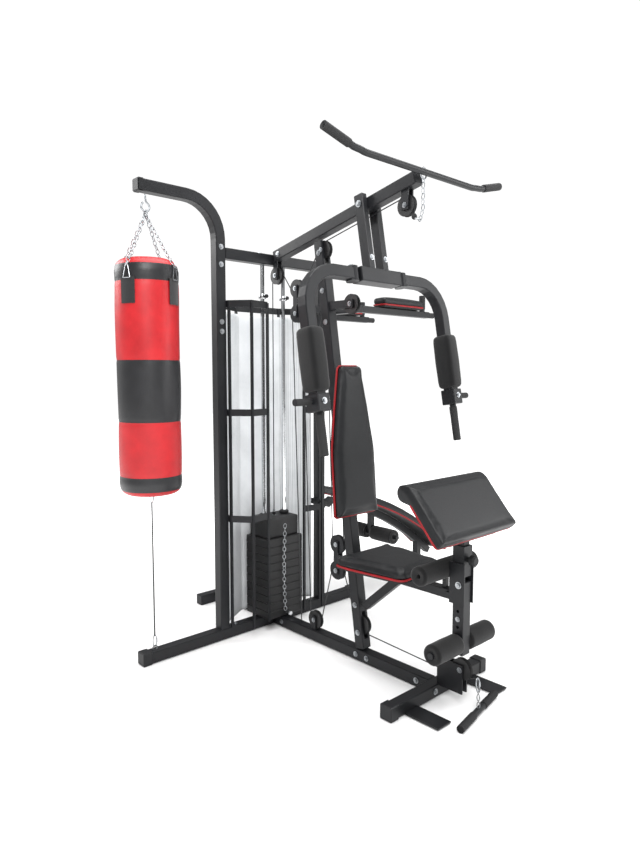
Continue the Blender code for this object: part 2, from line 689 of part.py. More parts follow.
def press_frame():
    """Swing frame, modelled upright under an empty that holds its tilt."""
    pivot = bpy.data.objects.new("press_pivot", None)
    collection(CUTTERS).objects.link(pivot)
    pivot.location = SWING
    pivot.rotation_euler = (0, -SWING_TILT, 0)

    box = block("press_frame", (-0.030, -BOX_HALF_Y, -BOX_DROP - 0.030),
                (0.030, BOX_HALF_Y, -BOX_DROP + 0.030), "frame_black", CHAMFER,
                parent=pivot)
    for side in (-1, 1):
        near, far = side * (HALF + 0.0015), side * (HALF + 0.0315)
        weld_on(box, block(f"press_post_{side}", (-0.024, min(near, far), -BOX_DROP + 0.01),
                           (0.024, max(near, far), 0.040), edge=0.003, segments=1, parent=pivot))

    for side in (-1, 1):
        word = "right" if side > 0 else "left"
        hub = side * (BOX_HALF_Y + KNUCKLE_R + 2 * GAP)
        outer = side * ARM_Y
        path = fillet([(0, hub, -BOX_DROP), (0, outer, -BOX_DROP), (0, outer, -0.800)],
                      ARM_R, 7)
        arm = square_tube(f"fly_arm_{word}", path, 0.048, "frame_black", pivot)
        clamp = block(f"grip_clamp_{word}", (-0.036, min(outer - 0.030, outer + 0.030), -0.850),
                      (0.036, outer + 0.030, -0.783), edge=0.003, segments=1, parent=pivot)
        peg = rod(f"side_peg_{word}", (0, outer, -0.812), (0, outer + side * 0.115, -0.812),
                  0.011, parent=pivot)
        grip = rod(f"hand_grip_{word}", (0, outer, -0.840), (0, outer, -1.015), 0.0145,
                   parent=pivot)
        knuckle = rod(f"knuckle_{word}", (0, hub, -BOX_DROP - 0.030),
                      (0, hub, -BOX_DROP + 0.030), KNUCKLE_R, sides=20, parent=pivot)
        weld_on(arm, knuckle, clamp, peg, grip)
        sleeve = block(f"arm_foam_{word}", (-0.046, outer - 0.039, -FOAM_LOW),
                       (0.046, outer + 0.039, -FOAM_TOP), "foam_black", 0.010, parent=pivot)
        cut(sleeve, block(f"foam_bore_{word}", (-0.0243, outer - 0.0243, -0.9),
                          (0.0243, outer + 0.0243, -0.4), parent=pivot))
        set_origin(arm, (0, hub, -BOX_DROP))


def leg_lever():
    lever = block("leg_lever", (1.1103, -0.0243, LEVER_FOOT), (1.1597, 0.0243, 0.4850),
                  "frame_black", 0.003)
    for z in (0.309, 0.371):
        cut(lever, rod("lever_hole", (1.135, -0.04, z), (1.135, 0.04, z), 0.0065, sides=10))
    weld_on(lever, rod("roller_axle", (1.135, -0.192, ROLLER_Z), (1.135, 0.192, ROLLER_Z),
                       0.0125))
    inner = 0.0130
    for side in (-1, 1):
        word = "right" if side > 0 else "left"
        half = 0.080
        centre = (1.135, side * (0.0250 + half + 0.0003), ROLLER_Z)
        turned(f"lever_foam_{word}",
               [(inner, half), (ROLLER_R - 0.008, half), (ROLLER_R, half - 0.008),
                (ROLLER_R, -half + 0.008), (ROLLER_R - 0.008, -half), (inner, -half)],
               "foam_black", centre, (0, 1, 0), 16)
    half = 0.175
    turned("upper_foam", [(0, half), (0.030, half), (0.038, half - 0.008),
                          (0.038, -half + 0.008), (0.030, -half), (0, -half)],
           "foam_black", (UPPER_FOAM[0], 0, UPPER_FOAM[1]), (0, 1, 0), 16)


def seat_and_back():
    outline = [(0.606, -0.155), (0.622, -0.172), (0.700, -0.172), (0.935, -0.138),
               (0.955, -0.115), (0.955, 0.115), (0.935, 0.138), (0.700, 0.172),
               (0.622, 0.172), (0.606, 0.155)]
    slab("seat_pad", outline, SEAT_Z, SEAT_Z + SEAT_THICK, "Z", "vinyl_black", 0.010)

    rise = Vector((BACK_HIGH[0] - BACK_LOW[0], 0, BACK_HIGH[1] - BACK_LOW[1]))
    tall = rise.length
    half = [(0.00, 0.125), (0.012, 0.134), (0.300, 0.132), (0.480, 0.104), (0.655, 0.072),
            (tall, 0.055)]
    outline = [(side * y, z) for side, row in ((1, half), (-1, half[::-1])) for z, y in row]
    back = slab("backrest_pad", outline, -BACK_THICK, 0, "X", "vinyl_black", 0.010)
    back.location = (BACK_LOW[0], 0, BACK_LOW[1])
    back.rotation_euler = (0, math.atan2(rise.x, rise.z), 0)


def preacher():
    """Curl pad: a slab with a rolled top edge, on a square post."""
    high, low = Vector(PREACHER_HIGH), Vector(PREACHER_LOW)
    along = (low - high).normalized()
    out = Vector((-along.y, along.x))
    roll = high - out * PREACHER_ROLL
    start = math.atan2(out.y, out.x)
    outline = [tuple(low), tuple(high)]
    for step in range(1, 9):
        angle = start + math.radians(200) * step / 8
        outline.append((roll.x + PREACHER_ROLL * math.cos(angle),
                        roll.y + PREACHER_ROLL * math.sin(angle)))
    under = high - out * PREACHER_THICK + along * 0.055
    outline += [tuple(under), tuple(low - out * PREACHER_THICK)]
    slab("preacher_pad", outline, -PREACHER_HALF, PREACHER_HALF, "Y", "vinyl_black", 0.008)

    top = high - out * (PREACHER_THICK + 0.0064) + along * 0.075
    end = low - out * (PREACHER_THICK + 0.0064) - along * 0.010
    frame = leaning_tube("preacher_frame", (top.x, 0, top.y), (end.x, 0, end.y), 0.30, 0.012,
                         "frame_black", 0)
    spot = 1.1352
    share = (spot - top.x) / (end.x - top.x)
    weld_on(frame, block("curl_post", (spot - 0.019, -0.019, 0.512),
                         (spot + 0.019, 0.019, top.y + share * (end.y - top.y) - 0.014),
                         edge=0.002, segments=1))


def knob():
    turned("lock_knob", [(0, 0.036), (0.016, 0.036), (0.021, 0.030), (0.021, 0.014),
                         (0.010, 0.010), (0.010, 0), (0, 0)],
           "knob_black", (1.1613, 0, 0.573), (1, 0, 0), 12)


def arc_point(angle, drop=0.0):
    y0, z0 = BENCH_START
    y = y0 + BENCH_R * (math.sin(angle) - math.sin(BENCH_FROM)) - drop * math.sin(angle)
    z = z0 - BENCH_R * (math.cos(BENCH_FROM) - math.cos(angle)) - drop * math.cos(angle)
    return y, z


def bench():
    """Curved sit-up bench that hinges on the rear post."""
    steps = 8
    angles = [BENCH_FROM + (BENCH_TO - BENCH_FROM) * step / steps for step in range(steps + 1)]
    top = [arc_point(angle, -0.046) for angle in angles]
    under = [arc_point(angle, 0.0) for angle in angles]
    slab("bench_pad", top + under[::-1], -0.140, 0.140, "X", "vinyl_black", 0.010)

    rail_path = [(0, *arc_point(angle, 0.0225)) for angle in angles]
    rail_path.insert(0, tuple(BENCH_HINGE))
    rail = square_tube("bench_frame", rail_path, 0.040, "frame_black")
    end_y, end_z = arc_point(BENCH_TO - 0.06, 0.0225)
    leg = block("bench_leg", (-0.018, end_y - 0.018, 0.020), (0.018, end_y + 0.018, end_z))
    foot = block("bench_foot", (-0.180, end_y - 0.022, 0), (0.180, end_y + 0.022, 0.038),
                 edge=CHAMFER)
    hang_y, hang_z = arc_point(BENCH_FROM + 0.17, 0.0225)
    drop = block("roller_hanger", (-0.015, hang_y - 0.030, 0.335), (0.015, hang_y, hang_z))
    axle = rod("bench_axle", (-0.205, hang_y - 0.015, 0.345), (0.205, hang_y - 0.015, 0.345),
               0.0125)
    foams = [rod(f"bench_foam_{side}", (side * 0.022, hang_y - 0.015, 0.345),
                 (side * 0.180, hang_y - 0.015, 0.345), 0.040, sides=14) for side in (-1, 1)]
    weld_on(rail, leg, foot, drop, axle, *foams)
    set_origin(rail, BENCH_HINGE)


def punch_bag():
    height = BAG_TOP - BAG_LOW
    rim = 0.012
    bag = turned("punch_bag", [(0, height), (BAG_R - rim, height), (BAG_R, height - rim),
                               (BAG_R, rim), (BAG_R - rim, 0), (0, 0)],
                 "bag_red", (0, BAG_Y, BAG_LOW), (0, 0, 1), 24)

    knuckle = Vector((0, BAG_Y, 1.946))
    weld_on(bag, rod("bag_hook", knuckle - Vector((0, 0, 0.012)), (0, BAG_Y, BAG_HOOK_Z), 0.006,
                     sides=8))
    for quarter in range(4):
        angle = math.radians(45 + 90 * quarter)
        reach = BAG_R - 0.022
        foot = Vector((reach * math.cos(angle), BAG_Y + reach * math.sin(angle),
                       BAG_TOP - 0.012))
        weld_on(bag, rod(f"bag_chain_{quarter}", foot, knuckle, 0.0045, sides=6))
    round_tube("bag_tether", [(0, BAG_Y, BASE_TOP + 0.001), (0, BAG_Y, 0.3), (0, BAG_Y, 0.5),
                              (0, BAG_Y, BAG_LOW - 0.001)], 0.003, "cable_black")


def row_bar():
    """Low row bar, lying on the floor in front of the low wheel."""
    ends = [Vector((1.262, -0.178, 0.0155)), Vector((1.202, 0.138, 0.0155))]
    bar = rod("row_bar", ends[0], ends[1], 0.0125, "frame_black")
    middle = (ends[0] + ends[1]) / 2
    weld_on(bar, round_tube("row_link", [middle, Vector((1.223, 0, 0.05)),
                                         Vector((1.216, 0, 0.100)), Vector((1.2135, 0, 0.121))],
                            0.004))


def build():
    clear_scene()
    base()
    posts()
    main_upright()
    seat_frame()
    guard()
    knee_station()
    stack()
    cables()
    floating_blocks()
    wheels()
    lat_bar()
    press_frame()
    leg_lever()
    seat_and_back()
    preacher()
    knob()
    bench()
    punch_bag()
    row_bar()


build()
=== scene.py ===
import json
import math

import bmesh
import bpy
from mathutils import Matrix, Vector, noise


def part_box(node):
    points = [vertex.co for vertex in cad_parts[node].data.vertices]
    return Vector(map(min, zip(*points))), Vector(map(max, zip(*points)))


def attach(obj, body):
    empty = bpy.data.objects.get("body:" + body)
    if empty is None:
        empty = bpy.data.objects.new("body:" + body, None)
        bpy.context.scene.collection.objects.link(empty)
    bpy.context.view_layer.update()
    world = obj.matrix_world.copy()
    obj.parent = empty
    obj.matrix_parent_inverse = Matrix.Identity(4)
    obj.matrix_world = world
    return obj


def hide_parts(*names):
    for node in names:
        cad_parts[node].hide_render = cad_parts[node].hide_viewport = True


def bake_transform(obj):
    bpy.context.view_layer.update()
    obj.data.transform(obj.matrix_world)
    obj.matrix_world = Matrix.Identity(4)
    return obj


bl_info = {
    "name": "Multi station home gym",
    "version": (1, 0, 0),
    "blender": (4, 5, 0),
    "location": "3D View > Sidebar > Home gym",
    "description": "Finishes, pads, cables, chains and hardware for a packed home gym frame",
    "category": "Object",
}

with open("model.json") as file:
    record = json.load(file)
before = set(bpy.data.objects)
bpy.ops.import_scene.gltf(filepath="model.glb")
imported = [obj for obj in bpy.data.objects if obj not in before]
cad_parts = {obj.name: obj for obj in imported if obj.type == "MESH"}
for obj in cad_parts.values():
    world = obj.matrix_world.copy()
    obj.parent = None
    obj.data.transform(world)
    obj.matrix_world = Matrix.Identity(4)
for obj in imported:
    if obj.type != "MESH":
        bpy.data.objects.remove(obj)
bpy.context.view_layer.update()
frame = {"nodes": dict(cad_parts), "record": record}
RECORD = frame["record"]
NODES = frame["nodes"]

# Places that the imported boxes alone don't give, in metres.
BACK_FOOT = Vector((0.605, 0, 0.647))        # front face of the backrest, bottom and top
BACK_HEAD = Vector((0.550, 0, 1.312))
CURL_HIGH = Vector((1.080, 0, 0.866))        # top face of the curl pad
CURL_LOW = Vector((1.234, 0, 0.684))
CURL_THICK = 0.050
BENCH_START = (0.400, 0.600)                 # underside of the sit-up pad: Y and Z, bend
BENCH_BEND = 2.170
BENCH_FROM = math.radians(14)
BENCH_TO = math.radians(40)
CABLE_LIE = 0.0365                           # radius at which a cable lies on its wheel
PRESS_AXIS = Vector((0.635, 0, 1.968))
PRESS_TILT = math.radians(10)
ARM_Y = 0.415
LAT_BEND_Y = 0.360
POST_Y = 0.320                               # post centres, on the two sides
REAR_POST_Y = 0.311
HALF_TUBE = 0.025
UPRIGHT_X = 0.632                            # leaning main upright: X at the floor
UPRIGHT_LEAN = 0.152                         # and how far it leans back for each metre up

FRAME_BODY = "frame"
COLLECTION = "home_gym_finish"


# ---------------------------------------------------------------- sizes and colours
class GymColours(bpy.types.PropertyGroup):
    coat: bpy.props.StringProperty(
        name="Powder coat", description="sRGB hex of the steel's coat", default="#1b1c1f")
    vinyl: bpy.props.StringProperty(
        name="Pad vinyl", description="sRGB hex of the pads", default="#191a1c")
    red: bpy.props.StringProperty(
        name="Red vinyl", description="sRGB hex of the bag", default="#bd141c")
    foam: bpy.props.StringProperty(
        name="Foam", description="sRGB hex of the foam sleeves", default="#141415")
    panel: bpy.props.StringProperty(
        name="Mesh panel", description="sRGB hex of the stack's rear panel", default="#e2e4e6")


class GymSizes(bpy.types.PropertyGroup):
    pad_swell: bpy.props.FloatProperty(
        name="Pad crown", description="Most that a pad's cover may swell", default=0.007,
        unit="LENGTH")
    voxel: bpy.props.FloatProperty(
        name="Pad mesh", description="Spacing of the pads' mesh", default=0.006, unit="LENGTH")
    piping: bpy.props.FloatProperty(
        name="Edge band", description="Radius of the red band round a pad", default=0.0045,
        unit="LENGTH")
    board: bpy.props.FloatProperty(
        name="Board", description="Thickness of a pad's backing board", default=0.009,
        unit="LENGTH")
    bolt: bpy.props.FloatProperty(
        name="Bolt head", description="Radius of a frame bolt's hexagon", default=0.0085,
        unit="LENGTH")
    link: bpy.props.FloatProperty(
        name="Chain pitch", description="Length of one step along a chain", default=0.019,
        unit="LENGTH")
    wire: bpy.props.FloatProperty(
        name="Chain wire", description="Radius of a chain link's wire", default=0.0019,
        unit="LENGTH")
    cable: bpy.props.FloatProperty(
        name="Cable", description="Radius of the jacketed wire rope", default=0.0025,
        unit="LENGTH")
    bag_height: bpy.props.FloatProperty(
        name="Bag height", description="Height of the stuffed body of the bag", default=1.003,
        unit="LENGTH")


def colours():
    return bpy.context.scene.gym_colours


def sizes():
    return bpy.context.scene.gym_sizes


# ---------------------------------------------------------------- materials
def linear(code):
    """sRGB hex to the linear colour that a shader takes."""
    parts = [int(code[place:place + 2], 16) / 255 for place in (1, 3, 5)]
    return (*[part / 12.92 if part <= 0.04045 else ((part + 0.055) / 1.055) ** 2.4
              for part in parts], 1)


def node(tree, kind, feeds=None, **settings):
    """Adds a node with its settings; a feed is a value or another node's output."""
    made = tree.nodes.new(kind)
    for name, value in settings.items():
        setattr(made, name, value)
    for key, value in (feeds or {}).items():
        if isinstance(value, bpy.types.NodeSocket):
            tree.links.new(value, made.inputs[key])
        else:
            made.inputs[key].default_value = value
    return made


def per_metre(millimetres):
    return 1000 / millimetres


def finish(name, light, dark, rough, rough_spread, patch_mm, grain_mm, grain_depth,
           cells=False, stretch=(1, 1, 1), **constants):
    """A Principled material: patches of two tones over a fine grain that also lifts."""
    known = bpy.data.materials.get(name)
    if known:
        return known
    made = bpy.data.materials.new(name)
    made.use_nodes = True
    tree = made.node_tree
    shader = tree.nodes["Principled BSDF"]
    place = node(tree, "ShaderNodeTexCoord").outputs["Object"]
    scaled = node(tree, "ShaderNodeMapping", {"Vector": place, "Scale": stretch}).outputs[0]
    patches = node(tree, "ShaderNodeTexNoise",
                   {"Vector": scaled, "Scale": per_metre(patch_mm), "Detail": 4.0,
                    "Roughness": 0.6}).outputs["Fac"]
    if cells:
        grain = node(tree, "ShaderNodeTexVoronoi",
                     {"Vector": scaled, "Scale": per_metre(grain_mm)},
                     feature="SMOOTH_F1").outputs["Distance"]
    else:
        grain = node(tree, "ShaderNodeTexNoise",
                     {"Vector": scaled, "Scale": per_metre(grain_mm), "Detail": 3.0}
                     ).outputs["Fac"]
    spread = node(tree, "ShaderNodeMapRange", {"Value": patches, "From Min": 0.3, "From Max": 0.7,
                                               "To Min": 0.0, "To Max": 1.0}).outputs[0]
    tone = node(tree, "ShaderNodeMix", {"Factor": spread, "A": linear(dark), "B": linear(light)},
                data_type="RGBA")
    tone_in = [socket for socket in tone.inputs if socket.type == "RGBA"]
    tone_in[0].default_value = linear(dark)
    tone_in[1].default_value = linear(light)
    tone_out = [socket for socket in tone.outputs if socket.type == "RGBA"][0]
    tree.links.new(tone_out, shader.inputs["Base Color"])
    mixed = node(tree, "ShaderNodeMath", {0: patches, 1: grain}, operation="ADD").outputs[0]
    gloss = node(tree, "ShaderNodeMapRange",
                 {"Value": mixed, "From Min": 0.4, "From Max": 1.5,
                  "To Min": rough - rough_spread, "To Max": rough + rough_spread}).outputs[0]
    tree.links.new(gloss, shader.inputs["Roughness"])
    lift = node(tree, "ShaderNodeBump", {"Height": grain, "Distance": grain_depth / 1000,
                                         "Strength": 0.8}).outputs[0]
    tree.links.new(lift, shader.inputs["Normal"])
    for key, value in constants.items():
        shader.inputs[key.replace("_", " ")].default_value = value
    return made


def powder_coat():
    """Baked polyester powder: satin, with the faint orange peel that it cures with."""
    return finish("powder_coated_steel", colours().coat, "#151618", 0.42, 0.09, 90, 2.2, 0.10,
                  Specular_IOR_Level=0.30)


def chrome():
    """Chrome plate over ground rod: a sharp mirror with hair lines along its length."""
    return finish("chrome_plated_steel", "#dcdee0", "#c4c6c9", 0.13, 0.05, 50, 1.6, 0.02,
                  stretch=(1, 1, 0.05), Metallic=1.0)


def zinc():
    """Bright zinc on bolts and chain: a soft grey metal with uneven gloss."""
    return finish("zinc_plated_steel", "#b4b7ba", "#8b8e91", 0.30, 0.10, 14, 0.9, 0.03,
                  Metallic=1.0)


def cast_iron():
    """Sand-cast plate under black enamel: matt, with a coarse skin."""
    return finish("enamelled_cast_iron", "#161617", "#0e0e0f", 0.58, 0.12, 35, 2.6, 0.30)


def nylon():
    """Moulded nylon: a low gloss with flow marks."""
    return finish("moulded_nylon", "#1a1a1b", "#111112", 0.42, 0.08, 25, 1.2, 0.04)


def cable_jacket():
    """Extruded PVC jacket over wire rope: smooth and slightly glossy."""
    return finish("pvc_jacket", "#222325", "#17181a", 0.34, 0.06, 30, 2.0, 0.03)


def foam():
    """Closed-cell NBR foam: no gloss and a skin of small open cells."""
    return finish("nbr_foam", colours().foam, "#0e0e0f", 0.93, 0.05, 45, 2.4, 0.45, cells=True,
                  Sheen_Weight=0.15, Sheen_Roughness=0.6, Specular_IOR_Level=0.12)


def vinyl():
    """Embossed upholstery vinyl: pebbled grain, drawn at 2.6 mm so that it shows."""
    return finish("upholstery_vinyl", colours().vinyl, "#121315", 0.47, 0.09, 80, 2.6, 0.22,
                  cells=True, Coat_Weight=0.06, Coat_Roughness=0.4, Specular_IOR_Level=0.28)


def red_vinyl():
    """The same vinyl in red, for the bag."""
    return finish("red_vinyl", colours().red, "#a50f17", 0.44, 0.08, 90, 2.8, 0.22, cells=True,
                  Coat_Weight=0.08, Coat_Roughness=0.35)


def red_edge():
    """The darker red welt let in round the pads."""
    return finish("red_welt_vinyl", "#96121a", "#7d0d13", 0.48, 0.06, 60, 1.1, 0.05,
                  Specular_IOR_Level=0.30)


def bag_black():
    """Black bag vinyl: a little glossier than the pads."""
    return finish("black_bag_vinyl", "#1c1c1f", "#141416", 0.42, 0.08, 90, 2.8, 0.22, cells=True,
                  Coat_Weight=0.08, Coat_Roughness=0.35)


def webbing():
    """Woven polypropylene strap: ribs across the strap every 2 mm."""
    return finish("polypropylene_webbing", "#1d1d1f", "#0f0f10", 0.8, 0.08, 12, 2.0, 0.35,
                  stretch=(0.3, 0.3, 1), Sheen_Weight=0.2)


def rubber_grip():
    """Moulded rubber on the hand grips: dull, finely pimpled."""
    return finish("moulded_rubber", "#18181a", "#0f0f10", 0.72, 0.08, 20, 2.2, 0.30, cells=True)


def abs_plastic():
    """Injection-moulded ABS for caps and knobs: fine spark texture."""
    return finish("moulded_abs", "#1b1c1e", "#131415", 0.50, 0.06, 30, 1.4, 0.08,
                  Specular_IOR_Level=0.25)


def plywood_board():
    """Pad boards under black spray: flat, with the wood's long grain showing through."""
    return finish("sprayed_plywood", "#1a1a1b", "#101011", 0.75, 0.06, 40, 3.0, 0.12,
                  stretch=(0.2, 1, 1))


def mesh_cloth():
    """Open polyester mesh in grey: a lattice of threads 6 mm apart, with painted shade darkening
    the holes between them.
    """
    made = finish("polyester_mesh", colours().panel, "#d3d6d8", 0.72, 0.06, 120, 3.0, 0.20)
    tree = made.node_tree
    shader = tree.nodes["Principled BSDF"]
    tone = shader.inputs["Base Color"].links[0].from_socket
    place = node(tree, "ShaderNodeTexCoord").outputs["Object"]
    cells = node(tree, "ShaderNodeTexVoronoi", {"Vector": place, "Scale": per_metre(6),
                                                "Randomness": 0.0}).outputs["Distance"]
    # Painted shade: the middle of each 6 mm cell, where the mesh is open, is darkened to 0.72 of
    # the tone; the threads keep the full tone.
    painted_hole_shade = node(tree, "ShaderNodeMapRange", {"Value": cells, "From Min": 0.20, "From Max": 0.42,
                                             "To Min": 0.72, "To Max": 1.0}).outputs[0]
    hole_shaded_tone = node(tree, "ShaderNodeVectorMath", {0: tone, 1: painted_hole_shade}, operation="MULTIPLY").outputs[0]
    tree.links.new(hole_shaded_tone, shader.inputs["Base Color"])
    return made


def studio_floor():
    """A white floor that passes into the white backdrop a few metres out."""
    made = bpy.data.materials.new("studio_floor")
    made.use_nodes = True
    tree = made.node_tree
    shader = tree.nodes["Principled BSDF"]
    place = node(tree, "ShaderNodeTexCoord").outputs["Object"]
    far = node(tree, "ShaderNodeVectorMath", {0: place}, operation="LENGTH").outputs["Value"]
    fade = node(tree, "ShaderNodeMapRange", {"Value": far, "From Min": 0.9, "From Max": 2.7},
                interpolation_type="SMOOTHSTEP").outputs[0]
    shader.inputs["Base Color"].default_value = (0.9, 0.9, 0.9, 1)
    tree.links.new(fade, shader.inputs["Emission Strength"])
    shader.inputs["Emission Color"].default_value = (1, 1, 1, 1)
    shader.inputs["Roughness"].default_value = 0.85
    return made


# ---------------------------------------------------------------- mesh helpers
def piece(name, mesh, coat, body=None, smooth=40):
    """An object at the origin in its own material; it rides on its body."""
    obj = bpy.data.objects.new(name, mesh)
    home = bpy.data.collections.get(COLLECTION)
    home.objects.link(obj)
    if not mesh.materials:
        for layer in coat if isinstance(coat, list) else [coat]:
            mesh.materials.append(layer)
    if smooth:
        mesh.shade_smooth()
        mesh.set_sharp_from_angle(angle=math.radians(smooth))
    if body:
        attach(obj, body)
    return obj


def to_mesh(bm, name):
    mesh = bpy.data.meshes.new(name)
    bm.to_mesh(mesh)
    bm.free()
    return mesh


def merged_copy(cad):
    """The CAD node's mesh with its loose triangles joined up."""
    bm = bmesh.new()
    bm.from_mesh(NODES[cad].data)
    bmesh.ops.remove_doubles(bm, verts=bm.verts, dist=0.00001)
    return bm


def shrunk_copy(cad, amount):
    """The node's mesh drawn in all over, to leave room for its cover to swell."""
    bm = merged_copy(cad)
    bmesh.ops.recalc_face_normals(bm, faces=bm.faces)
    bm.normal_update()
    drawn_in = [vertex.co - vertex.normal * amount for vertex in bm.verts]
    for vertex, point in zip(bm.verts, drawn_in):
        vertex.co = point
    return bm


def across(direction):
    """Two unit vectors square to a direction."""
    direction = direction.normalized()
    side = Vector((0, 1, 0)) if abs(direction.y) < 0.9 else Vector((1, 0, 0))
    first = (side - direction * side.dot(direction)).normalized()
    return first, direction.cross(first)


def sweep(bm, path, radius, sides=10, closed=False, slot=0, section=None):
    """Adds a tube along a path; its section keeps from turning as it goes."""
    path = [Vector(point) for point in path]
    count = len(path)
    first, second = across(path[1] - path[0])
    rings = []
    for index, point in enumerate(path):
        if closed:
            ahead, behind = path[(index + 1) % count], path[index - 1]
        else:
            ahead, behind = path[min(index + 1, count - 1)], path[max(index - 1, 0)]
        heading = (ahead - behind).normalized()
        first = (first - heading * first.dot(heading)).normalized()
        second = heading.cross(first)
        width = radius(index / (count - 1)) if callable(radius) else radius
        ring = []
        for side in range(sides):
            angle = 2 * math.pi * side / sides
            a, b = (math.cos(angle), math.sin(angle))
            if section:
                a, b = a * section[0], b * section[1]
            ring.append(bm.verts.new(point + (first * a + second * b) * width))
        rings.append(ring)
    pairs = list(zip(rings, rings[1:]))
    if closed:
        pairs.append((rings[-1], rings[0]))
    for low, high in pairs:
        for side in range(sides):
            after = (side + 1) % sides
            face = bm.faces.new((low[side], low[after], high[after], high[side]))
            face.material_index = slot
    if not closed:
        bm.faces.new(rings[0][::-1]).material_index = slot
        bm.faces.new(rings[-1]).material_index = slot


def tube(name, path, radius, coat, body=None, sides=10, closed=False, section=None):
    bm = bmesh.new()
    sweep(bm, path, radius, sides, closed, section=section)
    bmesh.ops.recalc_face_normals(bm, faces=bm.faces)
    return piece(name, to_mesh(bm, name), coat, body)


def lathe(bm, profile, base, axis, sides=24, slots=None):
    """Turns (radius, height) pairs about an axis; ends on the axis are closed poles."""
    axis = Vector(axis).normalized()
    first, second = across(axis)
    rings = []
    for radius, height in profile:
        centre = Vector(base) + axis * height
        if radius < 1e-6:
            rings.append([bm.verts.new(centre)])
            continue
        rings.append([bm.verts.new(centre + (first * math.cos(turn) + second * math.sin(turn))
                                   * radius)
                      for turn in (2 * math.pi * side / sides for side in range(sides))])
    for index, (low, high) in enumerate(zip(rings, rings[1:])):
        for side in range(sides):
            after = (side + 1) % sides
            corners = [low[side % len(low)], low[after % len(low)],
                       high[after % len(high)], high[side % len(high)]]
            unique = list(dict.fromkeys(corners))
            if len(unique) > 2:
                face = bm.faces.new(unique)
                face.material_index = slots[index] if slots else 0


def turned(name, profile, base, axis, coat, body=None, sides=24):
    bm = bmesh.new()
    lathe(bm, profile, base, axis, sides)
    bmesh.ops.recalc_face_normals(bm, faces=bm.faces)
    return piece(name, to_mesh(bm, name), coat, body)


def arc(start, end, centre_profile, steps=6):
    """Points of a quarter round between two (radius, height) points about a corner."""
    points = []
    for step in range(steps + 1):
        turn = math.pi / 2 * step / steps
        points.append((centre_profile[0] + (start[0] - centre_profile[0]) * math.cos(turn)
                       + (end[0] - centre_profile[0]) * math.sin(turn),
                       centre_profile[1] + (start[1] - centre_profile[1]) * math.cos(turn)
                       + (end[1] - centre_profile[1]) * math.sin(turn)))
    return points


def hull(points):
    """The convex outline of flat points, anticlockwise."""
    points = sorted(set((round(a, 5), round(b, 5)) for a, b in points))

    def chain(row):
        kept = []
        for point in row:
            while len(kept) > 1 and ((kept[-1][0] - kept[-2][0]) * (point[1] - kept[-2][1])
                                     - (kept[-1][1] - kept[-2][1]) * (point[0] - kept[-2][0])) <= 0:
                kept.pop()
            kept.append(point)
        return kept[:-1]
    return chain(points) + chain(points[::-1])


def soften(outline, cut=0.022, steps=5):
    """Rounds an outline's corners; a cut is at most half of each side."""
    done = []
    count = len(outline)
    for index, corner in enumerate(outline):
        corner = Vector(corner)
        before, after = Vector(outline[index - 1]), Vector(outline[(index + 1) % count])
        back, ahead = before - corner, after - corner
        reach = min(cut, back.length * 0.48, ahead.length * 0.48)
        first = corner + back.normalized() * reach
        last = corner + ahead.normalized() * reach
        for step in range(steps + 1):
            share = step / steps
            done.append(first * (1 - share) ** 2 + corner * 2 * share * (1 - share)
                        + last * share ** 2)
    return done


def inset(outline, distance):
    """Moves each point of a convex anticlockwise outline inwards."""
    moved = []
    count = len(outline)
    for index, point in enumerate(outline):
        run = (Vector(outline[(index + 1) % count]) - Vector(outline[index - 1])).normalized()
        moved.append(Vector(point) + Vector((-run.y, run.x)) * distance)
    return moved


def slab(outline, low, high, place, edge=0.0):
    """A mesh of a flat outline between two heights of its own plane."""
    bm = bmesh.new()
    levels = [(low, edge), (low + edge, 0), (high - edge, 0), (high, edge)] if edge else [
        (low, 0), (high, 0)]
    rings = []
    for height, drawn_in in levels:
        ring = inset(outline, drawn_in) if drawn_in else outline
        rings.append([bm.verts.new(place @ Vector((point[0], point[1], height)))
                      for point in ring])
    count = len(outline)
    for lower, upper in zip(rings, rings[1:]):
        for index in range(count):
            after = (index + 1) % count
            bm.faces.new((lower[index], lower[after], upper[after], upper[index]))
    bm.faces.new(rings[0][::-1])
    bm.faces.new(rings[-1])
    bmesh.ops.recalc_face_normals(bm, faces=bm.faces)
    return bm


def evaluated(obj):
    ready = obj.evaluated_get(bpy.context.evaluated_depsgraph_get())
    return bpy.data.meshes.new_from_object(ready)


def swollen(name, mesh, held, cap):
    """Remeshes a closed form evenly and lets pressure crown it, except where it's held."""
    scratch = bpy.data.objects.new(name + "_scratch", mesh)
    bpy.context.scene.collection.objects.link(scratch)
    even = scratch.modifiers.new("Even mesh", "REMESH")
    even.mode = "VOXEL"
    even.voxel_size = sizes().voxel
    bpy.context.view_layer.update()
    ready = evaluated(scratch)
    scratch.modifiers.clear()
    scratch.data = ready
    rest = [vertex.co.copy() for vertex in ready.vertices]
    group = scratch.vertex_groups.new(name="held")
    group.add([index for index, point in enumerate(rest) if held(point)], 1, "REPLACE")
    cloth = scratch.modifiers.new("Stuffing", "CLOTH")
    cloth.settings.quality = 4
    cloth.settings.mass = 0.3
    cloth.settings.use_pressure = True
    cloth.settings.uniform_pressure_force = 4
    cloth.settings.effector_weights.gravity = 0
    cloth.settings.vertex_group_mass = "held"
    cloth.point_cache.frame_start = 1
    cloth.point_cache.frame_end = 20
    for step in range(1, 21):
        bpy.context.scene.frame_set(step)
    puffed = evaluated(scratch)
    bpy.context.scene.frame_set(1)
    for vertex, before in zip(puffed.vertices, rest):
        move = vertex.co - before
        if move.length > cap:
            vertex.co = before + move * (cap / move.length)
    ready = puffed
    bpy.data.objects.remove(scratch, do_unlink=True)
    bm = bmesh.new()
    bm.from_mesh(ready)
    for _ in range(3):
        bmesh.ops.smooth_vert(bm, verts=bm.verts, factor=0.5, use_axis_x=True, use_axis_y=True,
                              use_axis_z=True)
    bmesh.ops.recalc_face_normals(bm, faces=bm.faces)
    mesh = to_mesh(bm, name)
    return mesh


